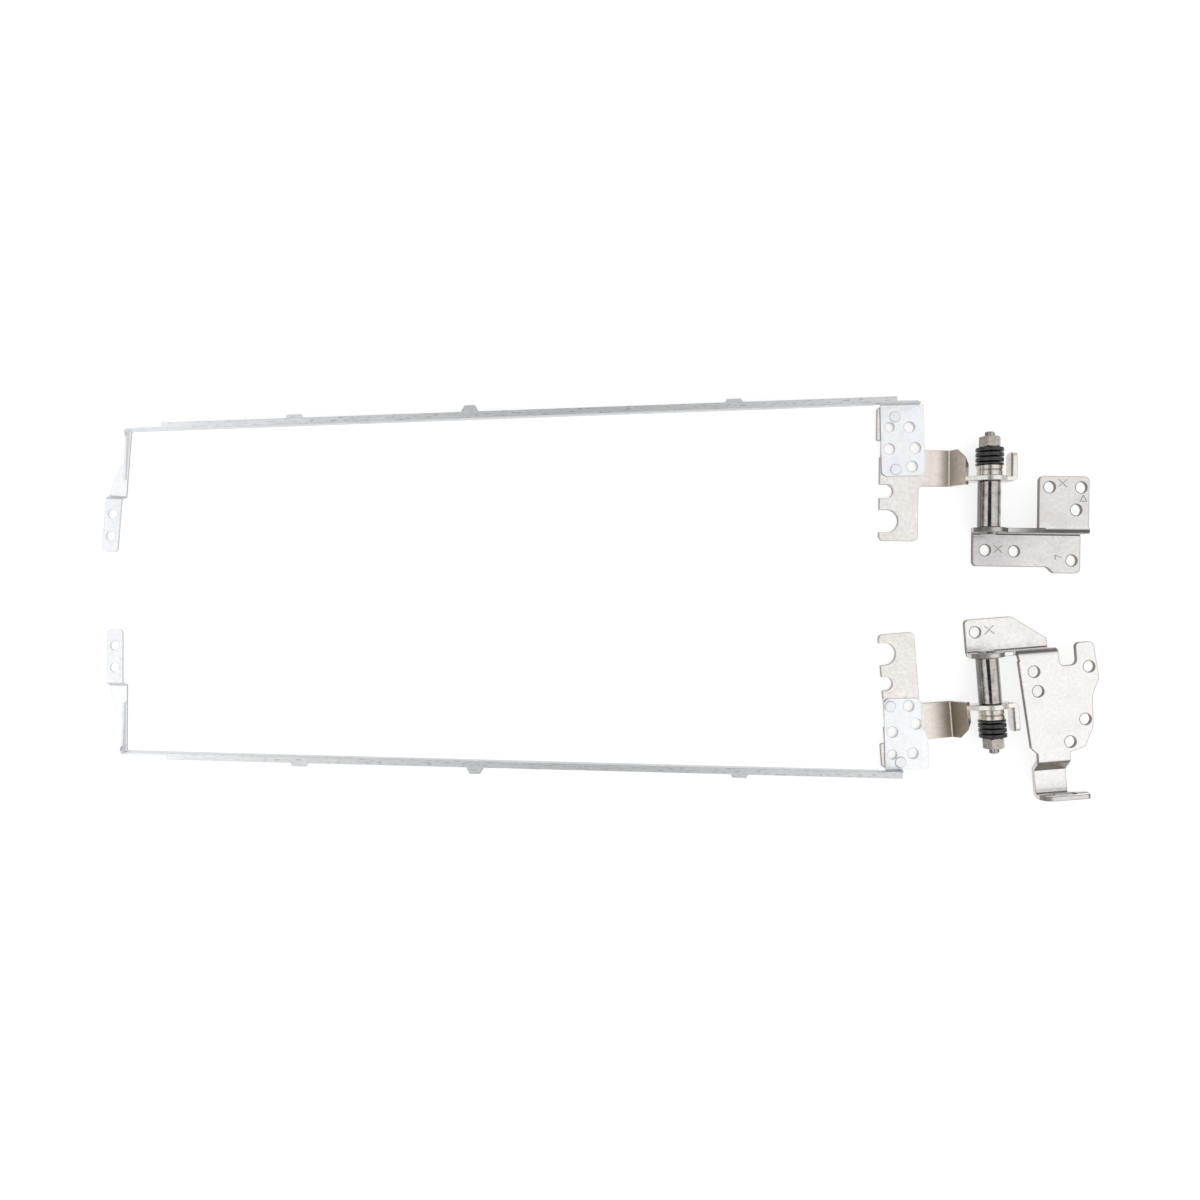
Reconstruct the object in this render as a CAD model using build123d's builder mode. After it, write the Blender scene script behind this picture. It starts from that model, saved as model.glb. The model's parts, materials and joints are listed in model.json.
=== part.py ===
from build123d import *
import os
from dataclasses import dataclass
from math import cos, radians, sin, sqrt, tan

# Sheet stock of the galvanised rails and of the nickel-plated brackets
RAIL_SHEET = 0.5
BRACKET_SHEET = 1.2
BEND_INSIDE = 0.5

# Hinge shaft: its axis lies along Y in each hinge's own frame, which has its origin
# under the axis on the table, at the face of the base ear that carries the barrel
AXIS_HEIGHT = 5.2
BARREL_DIAMETER = 5.8
BARREL_LENGTH = 12.3
TAIL_DIAMETER = 3.2
TAIL_FLATS = 2.4
THREAD_DIAMETER = 2.5
THREAD_BEYOND_NUT = 1.4
STAKE_DIAMETER = 3.8
STAKE_HEAD_DIAMETER = 5.0
STAKE_HEAD_HEIGHT = 0.5
SHAFT_EDGE = 0.3

# Clearances: the ear turns on the tail, and the rest of the stack is slipped over it
RUNNING_CLEARANCE = 0.04
FACE_CLEARANCE = 0.03
SLIP_CLEARANCE = 0.05

# Friction stack on the tail
WASHER_DIAMETER = 6.4
FRICTION_WASHER_SHEET = 1.6
PRESSURE_WASHER_SHEET = 1.4
WASHER_EDGE = 0.25
SPRING_DIAMETER = 7.0
SPRING_SHEET = 0.42
SPRING_RISE = 0.24
SPRING_GAP = 0.02
SPRING_COUNT = 7
NUT_ACROSS_FLATS = 5.0
NUT_HEIGHT = 2.7
NUT_CHAMFER = 0.35

# Display rail: its plate, then the run measured from the relief beside the plate
PLATE_LEFT = -28.0
PLATE_LENGTH = 19.6
PLATE_CORNER = 1.6
PLATE_STEP_START = 7.4
PLATE_STEP_END = 10.9
PLATE_HOLE = 3.0
LOCATING_HOLE = 2.6
WALL_HEIGHT = 3.2
WALL_END_SLANT = 1.3
RAIL_BEND = 1.1
FLANGE_WIDTH = 1.1
FLANGE_END = 5.3
FLANGE_REACH = 190.0
LUGS = (154.7, 108.1, 38.0)
LUG_WIDTH = 6.0
LUG_SLOPE = 60
LUG_DEPTH = 0.9
MIDDLE_LUG_DEPTH = 1.7
RELIEF_LENGTH = 1.6
RELIEF_HEIGHT = 0.9

# Leg at the rail's far end, measured inwards from the corner and outwards from its wall
CORNER_RADIUS = 1.0
LEG_WALL_LENGTH = 13.4
LEG_WALL_HEIGHT = 2.5
LEG_END_HEIGHT = 1.6
FOOT_START = 7.6
FOOT_BULGE = 0.8
FOOT_END = 18.2
FOOT_END_WIDTH = 4.0
TAB_RISE = 1.8
TAB_STEP = 0.8
TAB_LENGTH = 14.0
TAB_WIDTH = 4.2
TAB_OVERLAP = 0.25
TAB_CORNER = 1.0
TAB_HOLE = 2.4
TAB_HOLES = (3.9, 9.7)

# Display bracket
BRACKET_LEFT = -28.6
BRACKET_RIGHT = -17.3
BRACKET_UNDER_PLATE_RIGHT = -16.5
BRACKET_WAIST_LEFT = -27.3
UNDER_PLATE_REACH = 18.5
FINGER_REACH = 17.2
FINGER_CORNER = 1.2
BRACKET_CORNER = 0.5
ARM_CORNER = 1.3
NOTCH_1_WIDTH = 3.7
NOTCH_1_OFFSET = -3.9
NOTCH_1_END = -24.1
NOTCH_2_WIDTH = 6.0
NOTCH_2_OFFSET = -11.9
NOTCH_2_END = -22.6
ARM_INSET = 0.9
ARM_WIDTH = 9.6
ARM_BEND = -8.4
RAMP_ANGLE = 61
RAMP_RISE = 5.2
RAMP_CHAMFER_LENGTH = 4.2
RAMP_CHAMFER_BACK = 2.3
EAR_RADIUS = 4.3
EAR_FOOT = 2.1
EAR_LUG_HEIGHT = 4.2
STOP_REACH = 6.5
STOP_LENGTH = 7.6
STOP_CORNER = 1.3

# Rivets through the rail's plate and the display bracket
RIVET_SHANK = 2.0
RIVET_HEAD = 3.0
RIVET_HEAD_HEIGHT = 0.3

# Base brackets: a low plate on the table, a wall with the shaft's ear, and a high plate
HIGH_PLATE = 6.0
BASE_HOLE = 3.1
BASE_EAR_RADIUS = 4.4
BASE_EAR_FILLET = 1.5
BASE_CORNER = 1.2

# Right base bracket
RIGHT_LOW_LEFT = -2.5
RIGHT_LOW_RIGHT = 26.4
RIGHT_LOW_DEPTH = 9.9
RIGHT_LOW_STEP_START = 17.6
RIGHT_LOW_STEP = 1.6
RIGHT_HIGH_LEFT = 12.3
RIGHT_HIGH_RIGHT = 25.4
RIGHT_HIGH_REACH = 13.7
RIGHT_LOW_HOLES = ((0.8, -5.6), (8.6, -5.8), (24.1, -8.1))
RIGHT_HIGH_HOLES = ((15.0, 10.8), (23.3, 10.8), (22.0, 4.9))

# Left base bracket
LEFT_LOW_LEFT = -3.6
LEFT_LOW_DEPTH = 10.0
LEFT_LOW_TOP_END = 9.0
LEFT_LOW_SLANT_END = -3.5
LEFT_WALL_END = 18.0
LEFT_HIGH_LEFT = 7.4
LEFT_HIGH_LEFT_OUTER = 9.0
LEFT_HIGH_EDGE = ((27.3, -2.2), (28.1, 7.6), (26.1, 11.6), (25.6, 20.0), (23.2, 25.1))
LEFT_LOW_HOLES = ((-0.9, -6.5),)
LEFT_HIGH_HOLES = ((11.2, 4.6), (11.9, 9.8), (23.7, 18.0), (19.3, 23.6), (25.7, 4.3))
LEFT_NOTCH_WIDTH = 4.6
LEFT_NOTCH_DEPTH = 3.6
LEFT_NOTCH_CORNER = 1.4
LEFT_RELIEF_WIDTH = 1.2
LEFT_RELIEF_DEPTH = 1.0
TAIL_PLATE_LEFT = 10.6
TAIL_PLATE_RIGHT = 19.0
TAIL_STEP_START = 28.0
TAIL_STEP_END = 30.6
TAIL_DROP = 3.2
TAIL_PLATE_END = 38.5
FOOT_RIGHT = 23.2
FOOT_HEIGHT = 6.0
FOOT_CORNER = 1.6
FOOT_SLOT_LENGTH = 6.0
FOOT_SLOT_WIDTH = 2.4
FOOT_SLOT_PLACE = 17.3


@dataclass(frozen=True)
class Hand:
    """What differs between the two hands, and where each hinge lies on the table."""

    name: str
    mirrored: bool
    origin: tuple[float, float]
    turn: float
    plate_turn: float
    rail_turn: float
    leg_turn: float
    rail_length: float
    plate_inner: float
    plate_widths: tuple[float, float]
    wall_end: float
    waist: tuple[float, float]
    finger_left: float
    plate_holes: tuple[tuple[float, float], ...]
    locating_hole: tuple[float, float]
    rivets: tuple[tuple[float, float], ...]


RIGHT = Hand(
    name="right",
    mirrored=False,
    origin=(102.7, 19.0),
    turn=-0.75,
    plate_turn=2.0,
    rail_turn=2.8,
    leg_turn=6.4,
    rail_length=199.8,
    plate_inner=13.8,
    plate_widths=(11.6, 11.6),
    wall_end=10.4,
    waist=(5.3, 9.7),
    finger_left=-27.7,
    plate_holes=((-20.1, 13.3), (-25.4, 7.4), (-18.4, 7.8), (-19.2, 2.8)),
    locating_hole=(-25.4, 13.2),
    rivets=((-24.0, 16.0), (-23.6, 1.9)),
)
LEFT = Hand(
    name="left",
    mirrored=True,
    origin=(102.2, -15.1),
    turn=4.5,
    plate_turn=3.2,
    rail_turn=6.0,
    leg_turn=1.3,
    rail_length=202.4,
    plate_inner=9.3,
    plate_widths=(9.9, 11.6),
    wall_end=4.4,
    waist=(7.8, 12.1),
    finger_left=-26.9,
    plate_holes=((-20.3, 15.2), (-25.3, 9.1), (-18.8, 7.4), (-20.4, 2.5)),
    locating_hole=(-25.8, 15.1),
    rivets=((-23.8, 17.3), (-25.4, 2.2)),
)

# Places along the shaft, in the order in which the stack is put on the tail
EAR_IN = BARREL_LENGTH + FACE_CLEARANCE
EAR_OUT = EAR_IN + BRACKET_SHEET
FRICTION_IN = EAR_OUT + FACE_CLEARANCE
PRESSURE_IN = FRICTION_IN + FRICTION_WASHER_SHEET
SPRINGS_IN = PRESSURE_IN + PRESSURE_WASHER_SHEET
SPRING_PITCH = SPRING_SHEET + SPRING_RISE + SPRING_GAP
NUT_IN = SPRINGS_IN + SPRING_COUNT * SPRING_PITCH
NUT_OUT = NUT_IN + NUT_HEIGHT
SHAFT_END = NUT_OUT + THREAD_BEYOND_NUT
TAIL_END = NUT_IN - SPRING_GAP

# Levels of the folded sheets
RAIL_BOTTOM = BRACKET_SHEET
RAIL_TOP = RAIL_BOTTOM + WALL_HEIGHT
WALL_TOP = HIGH_PLATE + BRACKET_SHEET
BEND_OUTSIDE = BEND_INSIDE + BRACKET_SHEET
TALL = 4 * AXIS_HEIGHT
SHAFT_AXIS = Axis((0, 0, AXIS_HEIGHT), (0, 1, 0))


def across(y: float) -> Plane:
    """Plane square to the shaft at Y, with X to the right and Z up; it extrudes towards -Y."""
    return Plane(origin=(0, y, 0), x_dir=(1, 0, 0), z_dir=(0, -1, 0))


def from_plate(hand: Hand, places: tuple[tuple[float, float], ...]) -> list[tuple[float, float]]:
    """Places given from the inner edge of the rail's plate, in the hinge's own frame."""
    return [(x, hand.plate_inner + y) for x, y in places]


def display_rail(hand: Hand) -> Part:
    """Galvanised rail: plate, wall, flange with lugs, and the leg with its raised tab."""
    plate_along = Vector(1, 0, 0).rotate(Axis.Z, hand.plate_turn)
    plate_corner = Vector(PLATE_LEFT, hand.plate_inner + PLATE_LENGTH, 0)
    plate_plan = Plane(plate_corner, x_dir=plate_along, z_dir=(0, 0, 1))
    plate_section = Plane(plate_corner, x_dir=plate_plan.y_dir, z_dir=plate_along)
    plate_side = Plane(plate_corner, x_dir=plate_along, z_dir=-plate_plan.y_dir)
    along = Vector(1, 0, 0).rotate(Axis.Z, hand.rail_turn)
    rail_plan = Plane(plate_corner - plate_along * RELIEF_LENGTH, x_dir=along, z_dir=(0, 0, 1))
    inward = -along.rotate(Axis.Z, 90 - hand.leg_turn)
    corner = rail_plan.origin - along * hand.rail_length
    leg_plan = Plane(corner, x_dir=inward, z_dir=(0, 0, 1))
    leg_side = Plane(corner, x_dir=inward, z_dir=-leg_plan.y_dir)
    wall_start = rail_plan.to_local_coords(plate_corner)
    leg_end = rail_plan.to_local_coords(corner + inward * LEG_WALL_LENGTH)
    foot_middle = ((FOOT_START + FOOT_END) / 2, -FOOT_END_WIDTH / 2 - FOOT_BULGE)
    tab_bottom = RAIL_BOTTOM + TAB_RISE
    tab_start = FOOT_END + TAB_STEP
    tab_edge = RAIL_SHEET - TAB_OVERLAP
    inner_width, outer_width = hand.plate_widths

    with BuildPart() as rail:
        # The wall, from the plate round the far corner to the end of the leg
        with BuildSketch(rail_plan.offset(RAIL_BOTTOM)):
            with BuildLine():
                FilletPolyline(
                    (wall_start.X, wall_start.Y),
                    (0, 0),
                    (-hand.rail_length, 0),
                    (leg_end.X, leg_end.Y),
                    radius=(0, CORNER_RADIUS),
                )
                offset(amount=RAIL_SHEET, side=Side.LEFT)
            make_face()
        extrude(amount=WALL_HEIGHT)

        # The leg's wall is lower, and falls away towards its end
        with BuildSketch(leg_side):
            with BuildLine():
                Polyline(
                    (CORNER_RADIUS, RAIL_TOP),
                    (2 * CORNER_RADIUS, RAIL_BOTTOM + LEG_WALL_HEIGHT),
                    (LEG_WALL_LENGTH + RAIL_SHEET, RAIL_BOTTOM + LEG_END_HEIGHT),
                    (LEG_WALL_LENGTH + RAIL_SHEET, RAIL_TOP + RAIL_SHEET),
                    (CORNER_RADIUS, RAIL_TOP + RAIL_SHEET),
                    close=True,
                )
            make_face()
        extrude(amount=2 * RAIL_SHEET, both=True, mode=Mode.SUBTRACT)

        # The bend from the plate to its own stretch of wall, with a slanted corner at its end
        with BuildSketch(plate_section):
            with BuildLine():
                FilletPolyline(
                    (-2 * RAIL_BEND, RAIL_BOTTOM),
                    (0, RAIL_BOTTOM),
                    (0, RAIL_TOP),
                    radius=RAIL_BEND,
                )
                offset(amount=RAIL_SHEET, side=Side.LEFT)
            make_face()
        extrude(amount=hand.wall_end)
        with BuildSketch(plate_side):
            with Locations((hand.wall_end, RAIL_TOP)):
                Rectangle(WALL_END_SLANT * sqrt(2), WALL_END_SLANT * sqrt(2), rotation=45)
        extrude(amount=RAIL_SHEET, mode=Mode.SUBTRACT)

        # The plate at the hinge end
        with BuildSketch(plate_plan.offset(RAIL_BOTTOM)):
            with BuildLine():
                FilletPolyline(
                    (0, -RAIL_BEND),
                    (0, -PLATE_LENGTH),
                    (inner_width, -PLATE_LENGTH),
                    (inner_width, PLATE_STEP_START - PLATE_LENGTH),
                    (outer_width, PLATE_STEP_END - PLATE_LENGTH),
                    (outer_width, -RAIL_SHEET),
                    (hand.wall_end, -RAIL_SHEET),
                    (hand.wall_end, -RAIL_BEND),
                    radius=(0, PLATE_CORNER, PLATE_CORNER, 0, 0, 0, 0, 0),
                    close=True,
                )
            make_face()
        extrude(amount=RAIL_SHEET)

        # The flange on the wall's top, with its lugs
        with BuildSketch(rail_plan.offset(RAIL_TOP - RAIL_SHEET)):
            with Locations((FLANGE_END, -RAIL_SHEET)):
                Rectangle(FLANGE_END + FLANGE_REACH, RAIL_SHEET + FLANGE_WIDTH, align=(Align.MAX, Align.MIN))
            for place, depth in zip(LUGS, (LUG_DEPTH, MIDDLE_LUG_DEPTH, LUG_DEPTH)):
                with Locations((-place, 0)):
                    Trapezoid(LUG_WIDTH, FLANGE_WIDTH + depth, LUG_SLOPE, align=(Align.CENTER, Align.MIN))
        extrude(amount=RAIL_SHEET)

        # The relief where the wall passes the plate's left edge
        with BuildSketch(plate_side):
            with Locations((0, RAIL_BOTTOM)):
                Rectangle(RELIEF_LENGTH, RELIEF_HEIGHT, align=(Align.MAX, Align.MIN))
        extrude(amount=2 * RAIL_SHEET, both=True, mode=Mode.SUBTRACT)

        # The foot of the leg, the step up from it and the tab with its screw holes
        with BuildSketch(leg_plan.offset(RAIL_BOTTOM)):
            with BuildLine():
                Polyline(
                    (FOOT_END, -FOOT_END_WIDTH),
                    (FOOT_END, RAIL_SHEET),
                    (FOOT_START, RAIL_SHEET),
                    (FOOT_START, 0),
                )
                ThreePointArc((FOOT_START, 0), foot_middle, (FOOT_END, -FOOT_END_WIDTH))
            make_face()
        extrude(amount=RAIL_SHEET)
        with BuildSketch(leg_side.offset(-tab_edge)):
            with BuildLine():
                Polyline(
                    (FOOT_END - TAB_STEP, RAIL_BOTTOM),
                    (FOOT_END, RAIL_BOTTOM),
                    (tab_start, tab_bottom),
                    (tab_start + 2 * TAB_CORNER, tab_bottom),
                )
                offset(amount=RAIL_SHEET, side=Side.LEFT)
            make_face()
        extrude(amount=TAB_WIDTH)
        with BuildSketch(leg_plan.offset(tab_bottom)) as tab:
            with Locations((tab_start, tab_edge)):
                Rectangle(TAB_LENGTH, TAB_WIDTH, align=(Align.MIN, Align.MAX))
            fillet(tab.vertices().group_by(Axis.X)[-1], TAB_CORNER)
            with Locations(*[(tab_start + place, tab_edge - TAB_WIDTH / 2) for place in TAB_HOLES]):
                Circle(TAB_HOLE / 2, mode=Mode.SUBTRACT)
        extrude(amount=RAIL_SHEET)

        # The plate's holes, which go on through the display bracket
        with BuildSketch(Plane.XY.offset(RAIL_BOTTOM)):
            plate_holes(hand)
        extrude(amount=RAIL_SHEET, mode=Mode.SUBTRACT)
    return rail.part


def plate_holes(hand: Hand) -> None:
    """Sketch the screw holes, the locating hole and the rivet holes of the plate."""
    with Locations(*from_plate(hand, hand.plate_holes)):
        Circle(PLATE_HOLE / 2)
    with Locations(*from_plate(hand, (hand.locating_hole,))):
        Circle(LOCATING_HOLE / 2)
    with Locations(*from_plate(hand, hand.rivets)):
        Circle(RIVET_SHANK / 2)


def display_bracket(hand: Hand) -> Part:
    """Nickel-plated bracket: fingers, arm, ramp, ear on the shaft's tail and stop tab."""
    finger_end = hand.plate_inner - FINGER_REACH
    plate_end = hand.plate_inner + UNDER_PLATE_REACH
    waist_inner, waist_outer = [hand.plate_inner + place for place in hand.waist]
    slope = tan(radians(RAMP_ANGLE))
    ramp_end = Vector(ARM_BEND + RAMP_RISE / slope, RAMP_RISE)
    ramp_foot = Vector(ARM_BEND + EAR_FOOT / slope, EAR_FOOT)
    ramp_back = Vector(-sin(radians(RAMP_ANGLE)), cos(radians(RAMP_ANGLE))) * BRACKET_SHEET
    arm_inner = EAR_IN - ARM_INSET
    arm_outer = arm_inner + ARM_WIDTH

    with BuildPart() as bracket:
        # The strip in section: flat plate and arm, then the ramp
        with BuildSketch(across(plate_end)):
            with BuildLine():
                FilletPolyline((BRACKET_LEFT, 0), (ARM_BEND, 0), ramp_end, radius=BEND_OUTSIDE)
                offset(amount=BRACKET_SHEET, side=Side.LEFT)
            make_face()
        extrude(amount=plate_end - finger_end)

        # Its outline in plan: fingers, arm with the chamfered ramp, and the part under the rail
        with BuildSketch():
            with BuildLine():
                FilletPolyline(
                    (hand.finger_left, finger_end),
                    (BRACKET_RIGHT, finger_end),
                    (BRACKET_RIGHT, arm_inner),
                    (ramp_end.X, arm_inner),
                    (ramp_end.X, arm_outer - RAMP_CHAMFER_LENGTH),
                    (ramp_end.X - RAMP_CHAMFER_BACK, arm_outer),
                    (BRACKET_UNDER_PLATE_RIGHT, arm_outer),
                    (BRACKET_UNDER_PLATE_RIGHT, plate_end),
                    (BRACKET_LEFT, plate_end),
                    (BRACKET_LEFT, waist_outer),
                    (BRACKET_WAIST_LEFT, waist_outer),
                    (BRACKET_WAIST_LEFT, waist_inner),
                    (hand.finger_left, waist_inner),
                    radius=(FINGER_CORNER, FINGER_CORNER, ARM_CORNER) + (0,) * 5
                    + (BRACKET_CORNER, BRACKET_CORNER, 0, 0, 0),
                    close=True,
                )
            make_face()
            for width, place, end in (
                (NOTCH_1_WIDTH, NOTCH_1_OFFSET, NOTCH_1_END),
                (NOTCH_2_WIDTH, NOTCH_2_OFFSET, NOTCH_2_END),
            ):
                with Locations((end, hand.plate_inner + place)):
                    SlotOverall(
                        4 * (end - BRACKET_LEFT),
                        width,
                        align=(Align.MAX, Align.CENTER),
                        mode=Mode.SUBTRACT,
                    )
        extrude(amount=TALL, mode=Mode.INTERSECT)
        with BuildSketch():
            plate_holes(hand)
        extrude(amount=BRACKET_SHEET, mode=Mode.SUBTRACT)

        # The ear, turned off the ramp's inner edge, and the lug that carries the stop
        with BuildSketch(across(EAR_OUT)):
            with BuildLine():
                Polyline(
                    ramp_foot,
                    ramp_foot + ramp_back,
                    ramp_end + ramp_back,
                    (-EAR_RADIUS / 2, AXIS_HEIGHT + EAR_RADIUS * cos(radians(30))),
                    (0, AXIS_HEIGHT),
                    (-EAR_RADIUS / 2, AXIS_HEIGHT - EAR_RADIUS * cos(radians(30))),
                    close=True,
                )
            make_face()
            with Locations((0, AXIS_HEIGHT)):
                Circle(EAR_RADIUS)
                Rectangle(STOP_REACH, EAR_LUG_HEIGHT, align=(Align.MIN, Align.CENTER))
                Circle(TAIL_DIAMETER / 2 + RUNNING_CLEARANCE, mode=Mode.SUBTRACT)
        extrude(amount=BRACKET_SHEET)

        # The stop tab, turned outwards at the end of the lug
        with BuildSketch(Plane.YZ.offset(STOP_REACH - BRACKET_SHEET)) as stop:
            with Locations((EAR_IN, AXIS_HEIGHT)):
                Rectangle(STOP_LENGTH, EAR_LUG_HEIGHT, align=(Align.MIN, Align.CENTER))
            fillet(stop.vertices().group_by(Axis.X)[-1], STOP_CORNER)
        extrude(amount=BRACKET_SHEET)
        stop_bend = bracket.edges().filter_by(Axis.Z).group_by(Axis.X)[-1].sort_by(Axis.Y)[0]
        fillet(stop_bend, BRACKET_SHEET)
    return bracket.part


def rail_rivets(hand: Hand) -> Part:
    """Two rivets, flush below and with low round heads on the rail's plate."""
    head_bottom = RAIL_BOTTOM + RAIL_SHEET
    with BuildPart() as rivets:
        with BuildSketch():
            with Locations(*from_plate(hand, hand.rivets)):
                Circle(RIVET_SHANK / 2)
        extrude(amount=head_bottom + RIVET_HEAD_HEIGHT / 2)
        with BuildSketch(Plane.XY.offset(head_bottom)):
            with Locations(*from_plate(hand, hand.rivets)):
                Circle(RIVET_HEAD / 2)
        extrude(amount=RIVET_HEAD_HEIGHT)
        chamfer(rivets.edges().group_by(Axis.Z)[-1], RIVET_HEAD_HEIGHT / 2)
    return rivets.part


def right_base_bracket() -> Part:
    """Base bracket of the right hinge: low plate, wall with the ear, and high plate."""
    step_end = RIGHT_LOW_STEP_START + RIGHT_LOW_STEP
    low_edge = -RIGHT_LOW_DEPTH - RIGHT_LOW_STEP
    with BuildPart() as bracket:
        # The low plate, the wall and the high plate, in section
        with BuildSketch(Plane.YZ.offset(RIGHT_HIGH_LEFT)):
            with BuildLine():
                FilletPolyline(
                    (low_edge, 0),
                    (0, 0),
                    (0, HIGH_PLATE),
                    (RIGHT_HIGH_REACH, HIGH_PLATE),
                    radius=(BEND_OUTSIDE, BEND_INSIDE),
                )
                offset(amount=BRACKET_SHEET, side=Side.LEFT)
            make_face()
        extrude(amount=RIGHT_LOW_RIGHT - RIGHT_HIGH_LEFT)

        # The low plate and the wall go on under the ear
        with BuildSketch(Plane.YZ.offset(RIGHT_LOW_LEFT)):
            with BuildLine():
                FilletPolyline((low_edge, 0), (0, 0), (0, AXIS_HEIGHT), radius=BEND_OUTSIDE)
                offset(amount=BRACKET_SHEET, side=Side.LEFT)
            make_face()
        extrude(amount=RIGHT_HIGH_LEFT - RIGHT_LOW_LEFT)

        # Outline in plan of both plates, with their screw holes
        with BuildSketch():
            with BuildLine():
                FilletPolyline(
                    (RIGHT_LOW_LEFT, 0),
                    (RIGHT_LOW_LEFT, -RIGHT_LOW_DEPTH),
                    (RIGHT_LOW_STEP_START, -RIGHT_LOW_DEPTH),
                    (step_end, low_edge),
                    (RIGHT_LOW_RIGHT, low_edge),
                    (RIGHT_LOW_RIGHT, -BEND_OUTSIDE),
                    (RIGHT_HIGH_RIGHT, BEND_INSIDE),
                    (RIGHT_HIGH_RIGHT, RIGHT_HIGH_REACH),
                    (RIGHT_HIGH_LEFT, RIGHT_HIGH_REACH),
                    (RIGHT_HIGH_LEFT, 0),
                    radius=(0,) + (BASE_CORNER,) * 4 + (0, 0, BASE_CORNER, BASE_CORNER, 0),
                    close=True,
                )
            make_face()
            with Locations(*RIGHT_LOW_HOLES, *RIGHT_HIGH_HOLES):
                Circle(BASE_HOLE / 2, mode=Mode.SUBTRACT)
        extrude(amount=TALL, mode=Mode.INTERSECT)

        # The round ear, and the shoulder from it to the high plate
        with BuildSketch(across(0)) as ear:
            with Locations((0, AXIS_HEIGHT)):
                Circle(BASE_EAR_RADIUS)
            with Locations((0, BEND_OUTSIDE)):
                Rectangle(RIGHT_HIGH_LEFT + BEND_OUTSIDE, WALL_TOP - BEND_OUTSIDE, align=Align.MIN)
            shoulder = ear.vertices().filter_by_position(Axis.Y, WALL_TOP - RAIL_SHEET, WALL_TOP + RAIL_SHEET)
            fillet(shoulder.sort_by(Axis.X)[0], BASE_EAR_FILLET)
        extrude(amount=BRACKET_SHEET)
        with BuildSketch(across(0)):
            with Locations((0, AXIS_HEIGHT)):
                Circle(STAKE_DIAMETER / 2)
        extrude(amount=BRACKET_SHEET, mode=Mode.SUBTRACT)
    return bracket.part


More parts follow.
